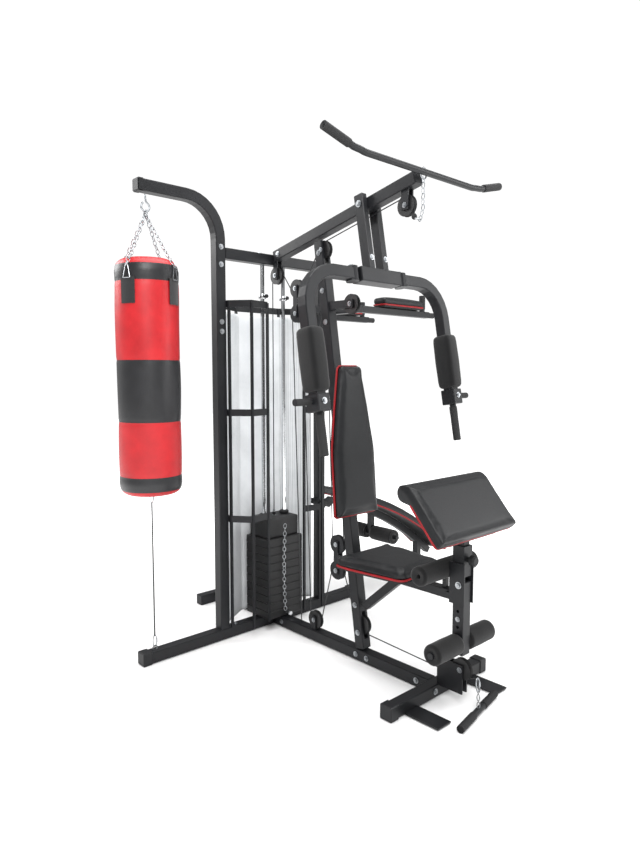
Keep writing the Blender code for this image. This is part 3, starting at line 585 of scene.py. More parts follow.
def pad_piece(name, mesh, body, cad):
    """A vinyl cushion on its body, standing for the node's plain solid."""
    obj = piece(name, mesh, vinyl(), body, smooth=0)
    mesh.shade_smooth()
    fine = obj.modifiers.new("Smooth cover", "SUBSURF")
    fine.levels = 1
    fine.render_levels = 1
    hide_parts(cad)
    return obj


def plane_at(origin, first, second):
    """A frame whose X and Y are the two directions and whose Z is square to them."""
    first, second = first.normalized(), second.normalized()
    return Matrix.Translation(origin) @ Matrix((first, second, first.cross(second))
                                               ).transposed().to_4x4()


# ---------------------------------------------------------------- repeated hardware trees
def new_tree(name, inputs):
    tree = bpy.data.node_groups.new(name, "GeometryNodeTree")
    tree.interface.new_socket("Geometry", in_out="INPUT", socket_type="NodeSocketGeometry")
    for label, kind, value in inputs:
        socket = tree.interface.new_socket(label, in_out="INPUT", socket_type=kind)
        if value is not None:
            socket.default_value = value
    tree.interface.new_socket("Geometry", in_out="OUTPUT", socket_type="NodeSocketGeometry")
    return tree, node(tree, "NodeGroupInput"), node(tree, "NodeGroupOutput")


def run_tree(name, mesh, tree, values):
    """Evaluates a geometry tree on a mesh and gives the plain result."""
    holder = bpy.data.objects.new(name + "_points", mesh)
    bpy.context.scene.collection.objects.link(holder)
    step = holder.modifiers.new("Repeat", "NODES")
    step.node_group = tree
    for item in tree.interface.items_tree:
        if item.in_out == "INPUT" and item.name in values:
            step[item.identifier] = values[item.name]
    holder.update_tag()
    bpy.context.view_layer.update()
    result = evaluated(holder)
    result.name = name
    holder.modifiers.remove(step)
    bpy.data.objects.remove(holder, do_unlink=True)
    return result


def bolt_tree():
    """A hexagon bolt head on a washer at each point, turned to the point's own aim."""
    known = bpy.data.node_groups.get("hex_bolts")
    if known:
        return known
    tree, given, out = new_tree("hex_bolts", [("Washer", "NodeSocketFloat", 1.45),
                                              ("Finish", "NodeSocketMaterial", None)])
    head = node(tree, "GeometryNodeMeshCone",
                {"Vertices": 6, "Radius Top": 0.92, "Radius Bottom": 1.0, "Depth": 0.62})
    head_up = node(tree, "GeometryNodeTransform",
                   {"Geometry": head.outputs["Mesh"], "Translation": (0, 0, 0.18)})
    washer = node(tree, "GeometryNodeMeshCone",
                  {"Vertices": 16, "Radius Top": given.outputs["Washer"],
                   "Radius Bottom": given.outputs["Washer"], "Depth": 0.2})
    shank = node(tree, "GeometryNodeMeshCone",
                 {"Vertices": 8, "Radius Top": 0.42, "Radius Bottom": 0.5, "Depth": 0.18})
    shank_up = node(tree, "GeometryNodeTransform",
                    {"Geometry": shank.outputs["Mesh"], "Translation": (0, 0, 0.79)})
    bolt = node(tree, "GeometryNodeJoinGeometry")
    for shape in (head_up.outputs["Geometry"], washer.outputs["Mesh"],
                  shank_up.outputs["Geometry"]):
        tree.links.new(shape, bolt.inputs[0])
    aim = node(tree, "GeometryNodeInputNamedAttribute", {"Name": "aim"},
               data_type="FLOAT_VECTOR")
    size = node(tree, "GeometryNodeInputNamedAttribute", {"Name": "size"}, data_type="FLOAT")
    turn = node(tree, "FunctionNodeAlignRotationToVector",
                {"Vector": aim.outputs["Attribute"]}, axis="Z")
    points = node(tree, "GeometryNodeInstanceOnPoints",
                  {"Points": given.outputs["Geometry"], "Instance": bolt.outputs[0],
                   "Rotation": turn.outputs[0], "Scale": size.outputs["Attribute"]})
    solid = node(tree, "GeometryNodeRealizeInstances", {"Geometry": points.outputs[0]})
    dressed = node(tree, "GeometryNodeSetMaterial",
                   {"Geometry": solid.outputs[0], "Material": given.outputs["Finish"]})
    tree.links.new(dressed.outputs[0], out.inputs[0])
    return tree


def rounding_tree():
    """Shades bends smooth and keeps real edges sharp."""
    known = bpy.data.node_groups.get("rounding")
    if known:
        return known
    tree, start, end = new_tree("rounding", [])
    slope = tree.nodes.new("GeometryNodeInputMeshEdgeAngle").outputs[0]
    sharp = node(tree, "FunctionNodeCompare", {"A": slope, "B": math.radians(28)},
                 operation="GREATER_THAN").outputs[0]
    faces = node(tree, "GeometryNodeSetShadeSmooth",
                 {"Geometry": start.outputs[0], "Shade Smooth": True}).outputs[0]
    edges = node(tree, "GeometryNodeSetShadeSmooth",
                 {"Geometry": faces, "Selection": sharp, "Shade Smooth": False},
                 domain="EDGE").outputs[0]
    tree.links.new(edges, end.inputs[0])
    return tree


def bolts(name, places, body):
    """Bolts at (position, outward direction, radius) places, as one piece on a body."""
    mesh = bpy.data.meshes.new(name + "_seats")
    mesh.from_pydata([tuple(spot) for spot, _, _ in places], [], [])
    mesh.attributes.new("aim", "FLOAT_VECTOR", "POINT")
    mesh.attributes.new("size", "FLOAT", "POINT")
    for index, (_, direction, radius) in enumerate(places):
        mesh.attributes["aim"].data[index].vector = direction
        mesh.attributes["size"].data[index].value = radius
    made = run_tree(name, mesh, bolt_tree(), {"Finish": zinc()})
    return piece(name, made, zinc(), body, smooth=30)


def chain_tree():
    """Welded links set along a line, each turned a quarter from the last."""
    known = bpy.data.node_groups.get("welded_chain")
    if known:
        return known
    tree, given, out = new_tree("welded_chain", [("Pitch", "NodeSocketFloat", 0.019),
                                                 ("Wire", "NodeSocketFloat", 0.0019),
                                                 ("Finish", "NodeSocketMaterial", None)])
    line = node(tree, "GeometryNodeMeshToCurve", {"Mesh": given.outputs["Geometry"]})
    stations = node(tree, "GeometryNodeCurveToPoints",
                    {"Curve": line.outputs[0], "Length": given.outputs["Pitch"]}, mode="LENGTH")
    half = node(tree, "ShaderNodeMath", {0: given.outputs["Pitch"], 1: 0.62},
                operation="MULTIPLY")
    ring = node(tree, "GeometryNodeCurvePrimitiveCircle",
                {"Resolution": 12, "Radius": half.outputs[0]}, mode="RADIUS")
    stood = node(tree, "GeometryNodeTransform",
                 {"Geometry": ring.outputs["Curve"], "Rotation": (math.pi / 2, 0, 0)})
    narrow = node(tree, "GeometryNodeTransform",
                  {"Geometry": stood.outputs[0], "Scale": (0.62, 1, 1)})
    wire = node(tree, "GeometryNodeCurvePrimitiveCircle",
                {"Resolution": 6, "Radius": given.outputs["Wire"]}, mode="RADIUS")
    link = node(tree, "GeometryNodeCurveToMesh",
                {"Curve": narrow.outputs[0], "Profile Curve": wire.outputs["Curve"]})
    along = node(tree, "FunctionNodeAlignRotationToVector",
                 {"Vector": stations.outputs["Tangent"]}, axis="Z")
    order = node(tree, "GeometryNodeInputIndex")
    quarter = node(tree, "ShaderNodeMath", {0: order.outputs[0], 1: math.pi / 2},
                   operation="MULTIPLY")
    roll = node(tree, "FunctionNodeAxisAngleToRotation",
                {"Axis": (0, 0, 1), "Angle": quarter.outputs[0]})
    turned_link = node(tree, "FunctionNodeRotateRotation",
                       {"Rotation": along.outputs[0], "Rotate By": roll.outputs[0]},
                       rotation_space="LOCAL")
    points = node(tree, "GeometryNodeInstanceOnPoints",
                  {"Points": stations.outputs["Points"], "Instance": link.outputs[0],
                   "Rotation": turned_link.outputs[0]})
    solid = node(tree, "GeometryNodeRealizeInstances", {"Geometry": points.outputs[0]})
    dressed = node(tree, "GeometryNodeSetMaterial",
                   {"Geometry": solid.outputs[0], "Material": given.outputs["Finish"]})
    tree.links.new(dressed.outputs[0], out.inputs[0])
    return tree


def chain(name, lines, body):
    """Chain along each line of points, as one piece on a body."""
    bm = bmesh.new()
    for line in lines:
        knots = [bm.verts.new(point) for point in line]
        for first, second in zip(knots, knots[1:]):
            bm.edges.new((first, second))
    made = run_tree(name, to_mesh(bm, name + "_line"), chain_tree(),
                    {"Pitch": sizes().link, "Wire": sizes().wire, "Finish": zinc()})
    return piece(name, made, zinc(), body, smooth=60)


def hanging_hook(name, top, bottom, wide, wire, body):
    """An oval snap hook between two points, with its gate sleeve."""
    top, bottom = Vector(top), Vector(bottom)
    middle, up = (top + bottom) / 2, (top - bottom) / 2
    side = across(up)[0]
    path = [middle + up * math.cos(turn) + side * wide * math.sin(turn)
            for turn in (2 * math.pi * step / 20 for step in range(20))]
    bm = bmesh.new()
    sweep(bm, path, wire, 8, closed=True)
    gate = middle + side * wide
    sweep(bm, [gate - up * 0.35, gate + up * 0.35], wire * 1.5, 10)
    bmesh.ops.recalc_face_normals(bm, faces=bm.faces)
    return piece(name, to_mesh(bm, name), zinc(), body)


# ---------------------------------------------------------------- geometry shared by pieces
def wheel_centre(cad):
    low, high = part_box(cad)
    return (low + high) / 2


def upright_x(height):
    return UPRIGHT_X - UPRIGHT_LEAN * height


def press_point(x, y, drop):
    """A point of the tilted press frame, given below its axis."""
    turn = Matrix.Rotation(-PRESS_TILT, 3, "Y")
    return PRESS_AXIS + turn @ Vector((x, y, -drop))


def bench_point(angle, lift=0.0):
    y0, z0 = BENCH_START
    y = y0 + BENCH_BEND * (math.sin(angle) - math.sin(BENCH_FROM)) + lift * math.sin(angle)
    z = z0 - BENCH_BEND * (math.cos(BENCH_FROM) - math.cos(angle)) + lift * math.cos(angle)
    return y, z


def belt(stops):
    """A cable's points round each wheel; side is 1 with the wheel on its right."""
    legs = []
    for (x1, z1, r1, s1), (x2, z2, r2, s2) in zip(stops, stops[1:]):
        run, rise = x2 - x1, z2 - z1
        heading = math.atan2(rise, run) - math.asin((s1 * r1 - s2 * r2) / math.hypot(run, rise))
        square = (-math.sin(heading), math.cos(heading))
        legs.append(((x1 + s1 * r1 * square[0], z1 + s1 * r1 * square[1]),
                     (x2 + s2 * r2 * square[0], z2 + s2 * r2 * square[1])))
    path = [legs[0][0]]
    for (_, arrive), (leave, _), (x, z, radius, side) in zip(legs, legs[1:], stops[1:]):
        first = math.atan2(arrive[1] - z, arrive[0] - x)
        last = math.atan2(leave[1] - z, leave[0] - x)
        turn = (last - first) * -side % (2 * math.pi) * -side
        steps = max(1, round(abs(turn) / math.radians(10)))
        path += [(x + radius * math.cos(first + turn * step / steps),
                  z + radius * math.sin(first + turn * step / steps))
                 for step in range(steps + 1)]
    path.append(legs[-1][1])
    return [Vector((x, 0, z)) for x, z in path]


def divided(start, end, parts):
    start, end = Vector(start), Vector(end)
    return [start.lerp(end, step / parts) for step in range(parts + 1)]


# ---------------------------------------------------------------- operators
class GYM_OT_steelwork(bpy.types.Operator):
    """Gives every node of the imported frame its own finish"""
    bl_idname = "gym.steelwork"
    bl_label = "Steelwork finishes"

    def execute(self, context):
        coats = {"frame_steel": powder_coat, "chrome_rod": chrome, "cast_weight": cast_iron,
                 "cable_jacket": cable_jacket, "tether_rubber": cable_jacket,
                 "wheel_nylon": nylon, "pad_vinyl": vinyl, "foam_sleeve": foam,
                 "bag_vinyl": red_vinyl, "knob_plastic": abs_plastic, "panel_mesh": mesh_cloth}
        for row in RECORD["subparts"]:
            mesh = NODES[row["node"]].data
            mesh.materials.clear()
            mesh.materials.append(coats[row["material_slot"]]())
            rounding = NODES[row["node"]].modifiers.new("rounding", "NODES")
            rounding.node_group = rounding_tree()
            NODES[row["node"]].modifiers.new("weighted", "WEIGHTED_NORMAL").keep_sharp = True
        return {"FINISHED"}


class GYM_OT_bolts(bpy.types.Operator):
    """Hexagon bolts and washers of the frame and of the press arms"""
    bl_idname = "gym.bolts"
    bl_label = "Bolts"

    def frame_places(self, size):
        """Bolts of the posts, base, beams and wheel brackets."""
        places = []
        post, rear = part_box("bag_post")[1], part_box("rear_post")[1]
        post_y, rear_y = -POST_Y, REAR_POST_Y
        for height in (1.845, 1.766, 1.507, 1.463):
            places.append(((post.x, post_y, height), (1, 0, 0), size))
            places.append(((rear.x, rear_y, height), (1, 0, 0), size))
        for side in (-1, 1):
            for x in (0.085, 0.600, 0.665, 0.940):
                places.append(((x, HALF_TUBE * side, 0.029), (0, side, 0), size))
            for height in (0.130, 0.250, 0.425, 1.500, 1.640, 1.810):
                places.append(((upright_x(height), HALF_TUBE * side, height), (0, side, 0), size))
            places.append(((1.0503, 0.042 * side, 0.029), (1, 0, 0), size))
            places.append(((1.140, 0.0306 * side, 0.475), (0, side, 0), size * 1.1))
            places.append(((0.070, HALF_TUBE * side, 1.842), (0, side, 0), size))
            places.append(((0.0, 0.080 * side, 1.8452), (0, 0, 1), size))
            places.append(((0.0, side * 0.245, 0.0542), (0, 0, 1), size * 0.8))
            for cad in ("rear_wheel", "mid_wheel", "lat_wheel", "fly_wheel", "base_wheel",
                        "float_wheel"):
                centre = wheel_centre(cad)
                reach = HALF_TUBE if cad == "mid_wheel" else 0.0165
                places.append(((centre.x, reach * side, centre.z), (0, side, 0), size * 0.9))
            low = wheel_centre("low_wheel")
            places.append(((low.x, 0.0175 * side, low.z), (0, side, 0), size * 0.9))
            for cad in ("double_block", "float_block"):
                corner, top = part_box(cad)
                for z in (corner.z + 0.043, top.z - 0.043):
                    if cad == "double_block" or z < wheel_centre("float_wheel").z - 0.05:
                        places.append((((corner.x + top.x) / 2, 0.0165 * side, z),
                                       (0, side, 0), size * 0.9))
        bolts("frame_bolts", places, FRAME_BODY)

    def end_cap(self):
        """The moulded cap in the open end of the bag's arm."""
        low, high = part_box("bag_post")
        cap = bmesh.new()
        bmesh.ops.create_cube(cap, size=1)
        bmesh.ops.scale(cap, verts=cap.verts, vec=(0.0535, 0.030, 0.0535))
        bmesh.ops.translate(cap, verts=cap.verts, vec=(0, low.y + 0.0125, high.z - HALF_TUBE))
        bmesh.ops.bevel(cap, geom=cap.edges[:], offset=0.004, segments=3, affect="EDGES")
        piece("arm_end_cap", to_mesh(cap, "arm_end_cap"), abs_plastic(), FRAME_BODY)

    def press_places(self, size):
        """Bolts of the press frame's axis and of its two hanging arms."""
        swing = [((PRESS_AXIS.x, side * 0.0565, PRESS_AXIS.z), (0, side, 0), size * 1.2)
                 for side in (-1, 1)]
        down = press_point(0, 0, 1) - press_point(0, 0, 0)
        swing += [(press_point(0.024, side * 0.042, 0.230), press_point(1, 0, 0)
                   - press_point(0, 0, 0), size) for side in (-1, 1)]
        bolts("press_bolts", swing, "press")
        for side, word in ((-1, "left"), (1, "right")):
            cap = press_point(0.036, ARM_Y * side, 0.812)
            forward = press_point(1, 0, 0) - press_point(0, 0, 0)
            hub = press_point(0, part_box("press_frame")[1].y * side * 1.224, 0.275)
            bolts(f"clamp_bolts_{word}", [(cap, forward, size), (hub, -down, size * 1.3)],
                  f"arm_{word}")

    def execute(self, context):
        size = sizes().bolt
        self.frame_places(size)
        self.end_cap()
        self.press_places(size)
        bolts("lever_bolts", [((1.135, side * 0.0243, 0.340), (0, side, 0), size * 0.8)
                              for side in (-1, 1)], "lever")
        return {"FINISHED"}


class GYM_OT_pads(bpy.types.Operator):
    """Upholstered pads: crowned vinyl, red edge band and backing board"""
    bl_idname = "gym.pads"
    bl_label = "Pads"

    def flat_pad(self, name, cad, body, place, thick):
        """A pad whose face is flat: place maps its outline's plane, Z out of the board."""
        inverse = place.inverted()
        flat = [inverse @ vertex.co for vertex in NODES[cad].data.vertices]
        outline = soften(hull([(point.x, point.y) for point in flat]))
        board, band = sizes().board, sizes().piping
        low = board + band * 0.6
        bm = slab(inset(outline, 0.004), low, thick - 0.004, place, edge=0.009)
        mesh = to_mesh(bm, name)
        held_below = low + 0.004

        def held(point):
            return (inverse @ point).z < held_below
        pad_piece(name, swollen(name, mesh, held, sizes().pad_swell), body, cad)
        edge = [place @ Vector((point[0], point[1], board + band * 0.5))
                for point in inset(outline, 0.007)]
        tube(name + "_edge", edge, band, red_edge(), body, 10, closed=True)
        under = slab(inset(outline, 0.007), 0, board, place, edge=0.001)
        piece(name + "_board", to_mesh(under, name + "_board"), plywood_board(), body)

    def curl_pad(self):
        """The curl pad keeps its rolled top edge, and a red band round its underside."""
        along = (CURL_LOW - CURL_HIGH).normalized()
        out = Vector((-along.z, 0, along.x))
        bm = shrunk_copy("preacher_pad", 0.004)
        depth = (CURL_LOW - out * CURL_THICK).dot(out)

        def held(point):
            return point.dot(out) < depth + 0.008
        mesh = swollen("curl_cushion", to_mesh(bm, "curl_cushion"), held, sizes().pad_swell)
        pad_piece("curl_cushion", mesh, "curl", "preacher_pad")
        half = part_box("preacher_pad")[1].y - 0.006
        drop = out * (CURL_THICK - 0.006)
        low = CURL_LOW - drop - along * 0.011
        high = CURL_HIGH - drop + along * 0.040
        ring = soften([(-half, 0), (half, 0), (half, (low - high).length),
                       (-half, (low - high).length)], 0.018)
        path = [low + Vector((0, point[0], 0)) - along * point[1] for point in ring]
        tube("curl_edge", path, sizes().piping, red_edge(), "curl", 10, closed=True)

    def bench_cushion(self):
        """The sit-up pad follows the bench's bend, with a red band along both edges."""
        bm = shrunk_copy("bench_pad", 0.003)
        y0, z0 = BENCH_START
        hub = Vector((0, y0 - BENCH_BEND * math.sin(BENCH_FROM),
                      z0 - BENCH_BEND * math.cos(BENCH_FROM)))

        def held(point):
            return math.hypot(point.y - hub.y, point.z - hub.z) < BENCH_BEND + 0.010
        mesh = swollen("bench_cushion", to_mesh(bm, "bench_cushion"), held, sizes().pad_swell)
        pad_piece("bench_cushion", mesh, "bench", "bench_pad")
        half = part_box("bench_pad")[1].x - 0.001
        steps = 14
        angles = [BENCH_FROM + 0.004 + (BENCH_TO - BENCH_FROM - 0.008) * step / steps
                  for step in range(steps + 1)]
        side = [Vector((half, *bench_point(angle, 0.006))) for angle in angles]
        other = [Vector((-half, point.y, point.z)) for point in side[::-1]]
        tube("bench_edge", side + other, sizes().piping, red_edge(), "bench", 10,
             closed=True)

    def execute(self, context):
        low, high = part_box("seat_pad")
        flat = plane_at(Vector((0, 0, low.z)), Vector((1, 0, 0)), Vector((0, 1, 0)))
        self.flat_pad("seat_cushion", "seat_pad", FRAME_BODY, flat, high.z - low.z)
        rise = (BACK_HEAD - BACK_FOOT).normalized()
        face = Vector((rise.z, 0, -rise.x))
        thick = 0.042
        leaning = plane_at(BACK_FOOT - face * thick, Vector((0, 1, 0)), rise)
        self.flat_pad("back_cushion", "backrest_pad", FRAME_BODY, leaning, thick)
        for word in ("left", "right"):
            low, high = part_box(f"arm_pad_{word}")
            flat = plane_at(Vector((0, 0, low.z)), Vector((1, 0, 0)), Vector((0, 1, 0)))
            self.flat_pad(f"arm_cushion_{word}", f"arm_pad_{word}", FRAME_BODY, flat,
                          high.z - low.z)
        self.curl_pad()
        self.bench_cushion()
        return {"FINISHED"}


class GYM_OT_foams(bpy.types.Operator):
    """Foam sleeves on the arms, the leg lever, the seat and the bench"""
    bl_idname = "gym.foams"
    bl_label = "Foam sleeves"

    def roller(self, name, centre, axis, half, radius, bore, body, cad=None):
        """A turned sleeve with rounded ends and a slight belly."""
        bend = 0.012
        profile = [(bore, half - 0.004)]
        profile += arc((radius - bend, half), (radius, half - bend), (radius - bend, half - bend))
        profile += [(radius * (1 + 0.012 * math.cos(math.pi * share)), half * share * 0.85)
                    for share in (0.8, 0.4, 0, -0.4, -0.8)]
        profile += [(a, -b) for a, b in arc((radius - bend, half), (radius, half - bend),
                                            (radius - bend, half - bend))][::-1]
        profile += [(bore, -half + 0.004)]
        profile += [profile[0]]
        bm = bmesh.new()
        lathe(bm, profile, centre, axis, 32)
        bmesh.ops.remove_doubles(bm, verts=bm.verts, dist=0.00001)
        bmesh.ops.recalc_face_normals(bm, faces=bm.faces)
        obj = piece(name, to_mesh(bm, name), foam(), body)
        if cad:
            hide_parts(cad)
        return obj

    def execute(self, context):
        for word in ("left", "right"):
            low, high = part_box(f"lever_foam_{word}")
            centre = (low + high) / 2
            self.roller(f"shin_roller_{word}", centre, (0, 1, 0), (high.y - low.y) / 2,
                        (high.z - low.z) / 2, 0.0127, "lever", f"lever_foam_{word}")
        low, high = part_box("upper_foam")
        centre = (low + high) / 2
        self.roller("thigh_roller", centre, (0, 1, 0), (high.y - low.y) / 2,
                    (high.z - low.z) / 2, 0.010, FRAME_BODY, "upper_foam")
        hang_y, _ = bench_point(BENCH_FROM + 0.17, -0.0225)
        for side in (-1, 1):
            centre = Vector((side * 0.101, hang_y - 0.015, 0.345))
            self.roller(f"bench_roller_{'left' if side < 0 else 'right'}", centre, (1, 0, 0),
                        0.081, 0.0412, 0.0125, "bench")

        for side, word in ((-1, "left"), (1, "right")):
            bm = bmesh.new()
            high, low = press_point(0, ARM_Y * side, 0.535), press_point(0, ARM_Y * side, 0.775)
            forward = press_point(1, 0, 0) - press_point(0, 0, 0)
            sideways = Vector((0, 1, 0))
            rings = []
            rows = [(0, 0.70), (0.004, 0.86), (0.012, 0.96), (0.03, 1), (0.12, 1.03),
                    (0.21, 1), (0.228, 0.96), (0.236, 0.86), (0.24, 0.70)]
            for travel, share in rows:
                centre = high.lerp(low, travel / 0.24)
                ring = []
                for step in range(32):
                    turn = 2 * math.pi * step / 32
                    c, s = math.cos(turn), math.sin(turn)
                    power = 0.45
                    ring.append(bm.verts.new(
                        centre
                        + forward * math.copysign(abs(c) ** power, c) * 0.046 * share
                        + sideways * math.copysign(abs(s) ** power, s) * 0.039 * share))
                rings.append(ring)
            for one, two in zip(rings, rings[1:]):
                for step in range(32):
                    after = (step + 1) % 32
                    bm.faces.new((one[step], one[after], two[after], two[step]))
            bm.faces.new(rings[0][::-1])
            bm.faces.new(rings[-1])
            bmesh.ops.recalc_face_normals(bm, faces=bm.faces)
            obj = piece(f"arm_sleeve_{word}", to_mesh(bm, f"arm_sleeve_{word}"), foam(),
                        f"arm_{word}")
            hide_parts(f"arm_foam_{word}")
        return {"FINISHED"}


class GYM_OT_cables(bpy.types.Operator):
    """Wire ropes on their real routes"""
    bl_idname = "gym.cables"
    bl_label = "Cables"

    def execute(self, context):
        radius = sizes().cable

        def stop(cad, side):
            centre = wheel_centre(cad)
            return centre.x, centre.z, CABLE_LIE, side
        float_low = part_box("float_block")[0].z + 0.043
        double_low, double_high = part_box("double_block")
        float_x = wheel_centre("float_wheel").x
        double_x = (double_low.x + double_high.x) / 2
        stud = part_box("stack_head")[1].z
        upper = belt([(0, stud, 0, 0), stop("rear_wheel", 1), stop("float_wheel", -1),
                      stop("mid_wheel", 1), stop("lat_wheel", 1),
                      (wheel_centre("lat_wheel").x + CABLE_LIE, 1.893, 0, 0)])
        rise = tube("stack_cable", divided(upper[0], upper[1], 24), radius, cable_jacket(),
                    sides=8)
        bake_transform(rise)
        over = tube("upper_cable_run", upper[1:-1], radius, cable_jacket(), FRAME_BODY,
                    8)
        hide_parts("upper_cable")
        drop = tube("lat_cable", divided(upper[-2], upper[-1], 24), radius, cable_jacket(),
                    sides=8)
        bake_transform(drop)

        low = belt([(0.210, 0.056, 0, 0), (float_x, float_low, CABLE_LIE, 1),
                    stop("base_wheel", -1), (double_x, double_low.z + 0.043, CABLE_LIE, 1),
                    (0.620, 0.165, CABLE_LIE, -1), stop("low_wheel", -1), (1.212, 0.128, 0, 0)])
        under = tube("low_cable_run", low[:-1], radius, cable_jacket(), FRAME_BODY,
                     8)
        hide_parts("low_cable")
        tail = tube("row_cable", divided(low[-2], low[-1], 24), radius, cable_jacket(),
                    sides=8)
        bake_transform(tail)

        top = double_high.z - 0.043
        loop = belt([(upright_x(0.80) - 0.026, 0.80, 0, 0), (double_x, top, CABLE_LIE, 1),
                     (upright_x(1.40) - 0.026, 1.40, 0, 0)])
        tube("press_cable_loop", loop, radius, cable_jacket(), FRAME_BODY, 8)
        turned("turning_wheel", [(0.005, 0.009), (0.043, 0.009), (0.0335, 0.004),
                                 (0.0335, -0.004), (0.043, -0.009), (0.005, -0.009),
                                 (0.005, 0.009)],
               (0.620, 0, 0.165), (0, 1, 0), nylon(), FRAME_BODY, 36)
        return {"FINISHED"}


class GYM_OT_bars(bpy.types.Operator):
    """Lat bar, row bar, hand grips and the carabiners that hold them"""
    bl_idname = "gym.bars"
    bl_label = "Bars and grips"

    def ribbed(self, share):
        return 1 + 0.03 * math.sin(share * math.pi * 40)

    def execute(self, context):
        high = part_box("lat_bar")[1]
        x, tip_y, tip_z = high.x - 0.0125, high.y - 0.003, high.z - 0.0125
        bar_z = tip_z - 0.043
        wing = Vector((0, tip_y - LAT_BEND_Y, tip_z - bar_z))
        half = [(LAT_BEND_Y + wing.y * share, bar_z + wing.z * share)
                for share in (1, 0.6, 0.3, 0.15)]
        half += [(LAT_BEND_Y * (1 - 0.12 * share), bar_z + wing.z * 0.15 * (1 - share) ** 2)
                 for share in (0.25, 0.5, 0.75, 1)]
        path = [Vector((x, -y, z)) for y, z in half] + [Vector((x, y, z)) for y, z in half[::-1]]
        bar = tube("lat_bar_tube", path, 0.0125, powder_coat(), "lat", 20)
        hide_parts("lat_bar")
        for side, word in ((-1, "left"), (1, "right")):
            tip = Vector((x, side * tip_y, tip_z))
            inner = tip - Vector((0, side * wing.y, wing.z)).normalized() * 0.125
            tube(f"lat_grip_{word}", divided(tip, inner, 60),
                 lambda share: 0.0158 * self.ribbed(share), rubber_grip(), "lat",
                 20)
        wheel = wheel_centre("lat_wheel")
        end = Vector((wheel.x + CABLE_LIE, 0, 1.893))
        bm = bmesh.new()
        lathe(bm, [(0, 0.010), (0.006, 0.009), (0.0105, 0.003), (0.011, -0.003), (0.009, -0.009),
                   (0.004, -0.013), (0, -0.014)], end + Vector((0, 0, -0.008)), (0, 0, 1), 20)
        bmesh.ops.recalc_face_normals(bm, faces=bm.faces)
        piece("cable_stop", to_mesh(bm, "cable_stop"), rubber_grip(), "lat")
        hanging_hook("lat_carabiner", end + Vector((0.002, 0, -0.016)),
                     end + Vector((0.030, 0, -0.026)), 0.010, 0.0025, "lat")
        chain("lat_chain", [[end + Vector((0.030, 0, -0.022)), Vector((x, 0, 1.900)),
                             Vector((x, 0, bar_z - 0.030))]], "lat")
        ring = [Vector((x, 0.018 * math.sin(turn), bar_z - 0.006 + 0.022 * math.cos(turn)))
                for turn in (2 * math.pi * step / 20 for step in range(20))]
        tube("lat_eye", ring, 0.003, zinc(), "lat", 8, closed=True)

        ends = [Vector((1.262, -0.178, 0.0155)), Vector((1.202, 0.138, 0.0155))]
        row = tube("row_bar_tube", divided(ends[0], ends[1], 4), 0.0125, powder_coat(), "row",
                   20)
        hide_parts("row_bar")
        run = (ends[1] - ends[0]).normalized()
        for end, way, word in ((ends[0], run, "left"), (ends[1], -run, "right")):
            tube(f"row_grip_{word}", divided(end, end + way * 0.115, 50),
                 lambda share: 0.0148 * self.ribbed(share), rubber_grip(), "row",
                 20)
        middle = (ends[0] + ends[1]) / 2
        hook_top = Vector((1.2125, 0, 0.127))
        hanging_hook("row_carabiner", hook_top, hook_top - Vector((-0.004, 0, 0.050)), 0.011,
                     0.0028, "row")
        chain("row_chain", [[hook_top - Vector((-0.004, 0, 0.044)), middle
                             + Vector((0, 0, 0.020))]], "row")

        for side, word in ((-1, "left"), (1, "right")):
            top, foot = press_point(0, ARM_Y * side, 0.862), press_point(0, ARM_Y * side, 1.013)
            tube(f"hand_grip_{word}", divided(top, foot, 60),
                 lambda share: 0.0172 * self.ribbed(share), rubber_grip(), f"arm_{word}",
                 20)
            inner = press_point(0, (ARM_Y + 0.040) * side, 0.812)
            outer = press_point(0, (ARM_Y + 0.114) * side, 0.812)
            tube(f"peg_grip_{word}", divided(inner, outer, 36),
                 lambda share: 0.0130 * self.ribbed(share), rubber_grip(), f"arm_{word}",
                 20)
            x = side * 0.230
            tube(f"dip_grip_{word}", divided((x, 0.885, 1.625), (x, 0.885, 1.699), 36),
                 lambda share: 0.0172 * self.ribbed(share), rubber_grip(), FRAME_BODY,
                 20)
            tube(f"dip_peg_{word}", divided((x, 0.934, 1.595), (x, 0.984, 1.595), 24),
                 lambda share: 0.0150 * self.ribbed(share), rubber_grip(), FRAME_BODY,
                 20)
        return {"FINISHED"}


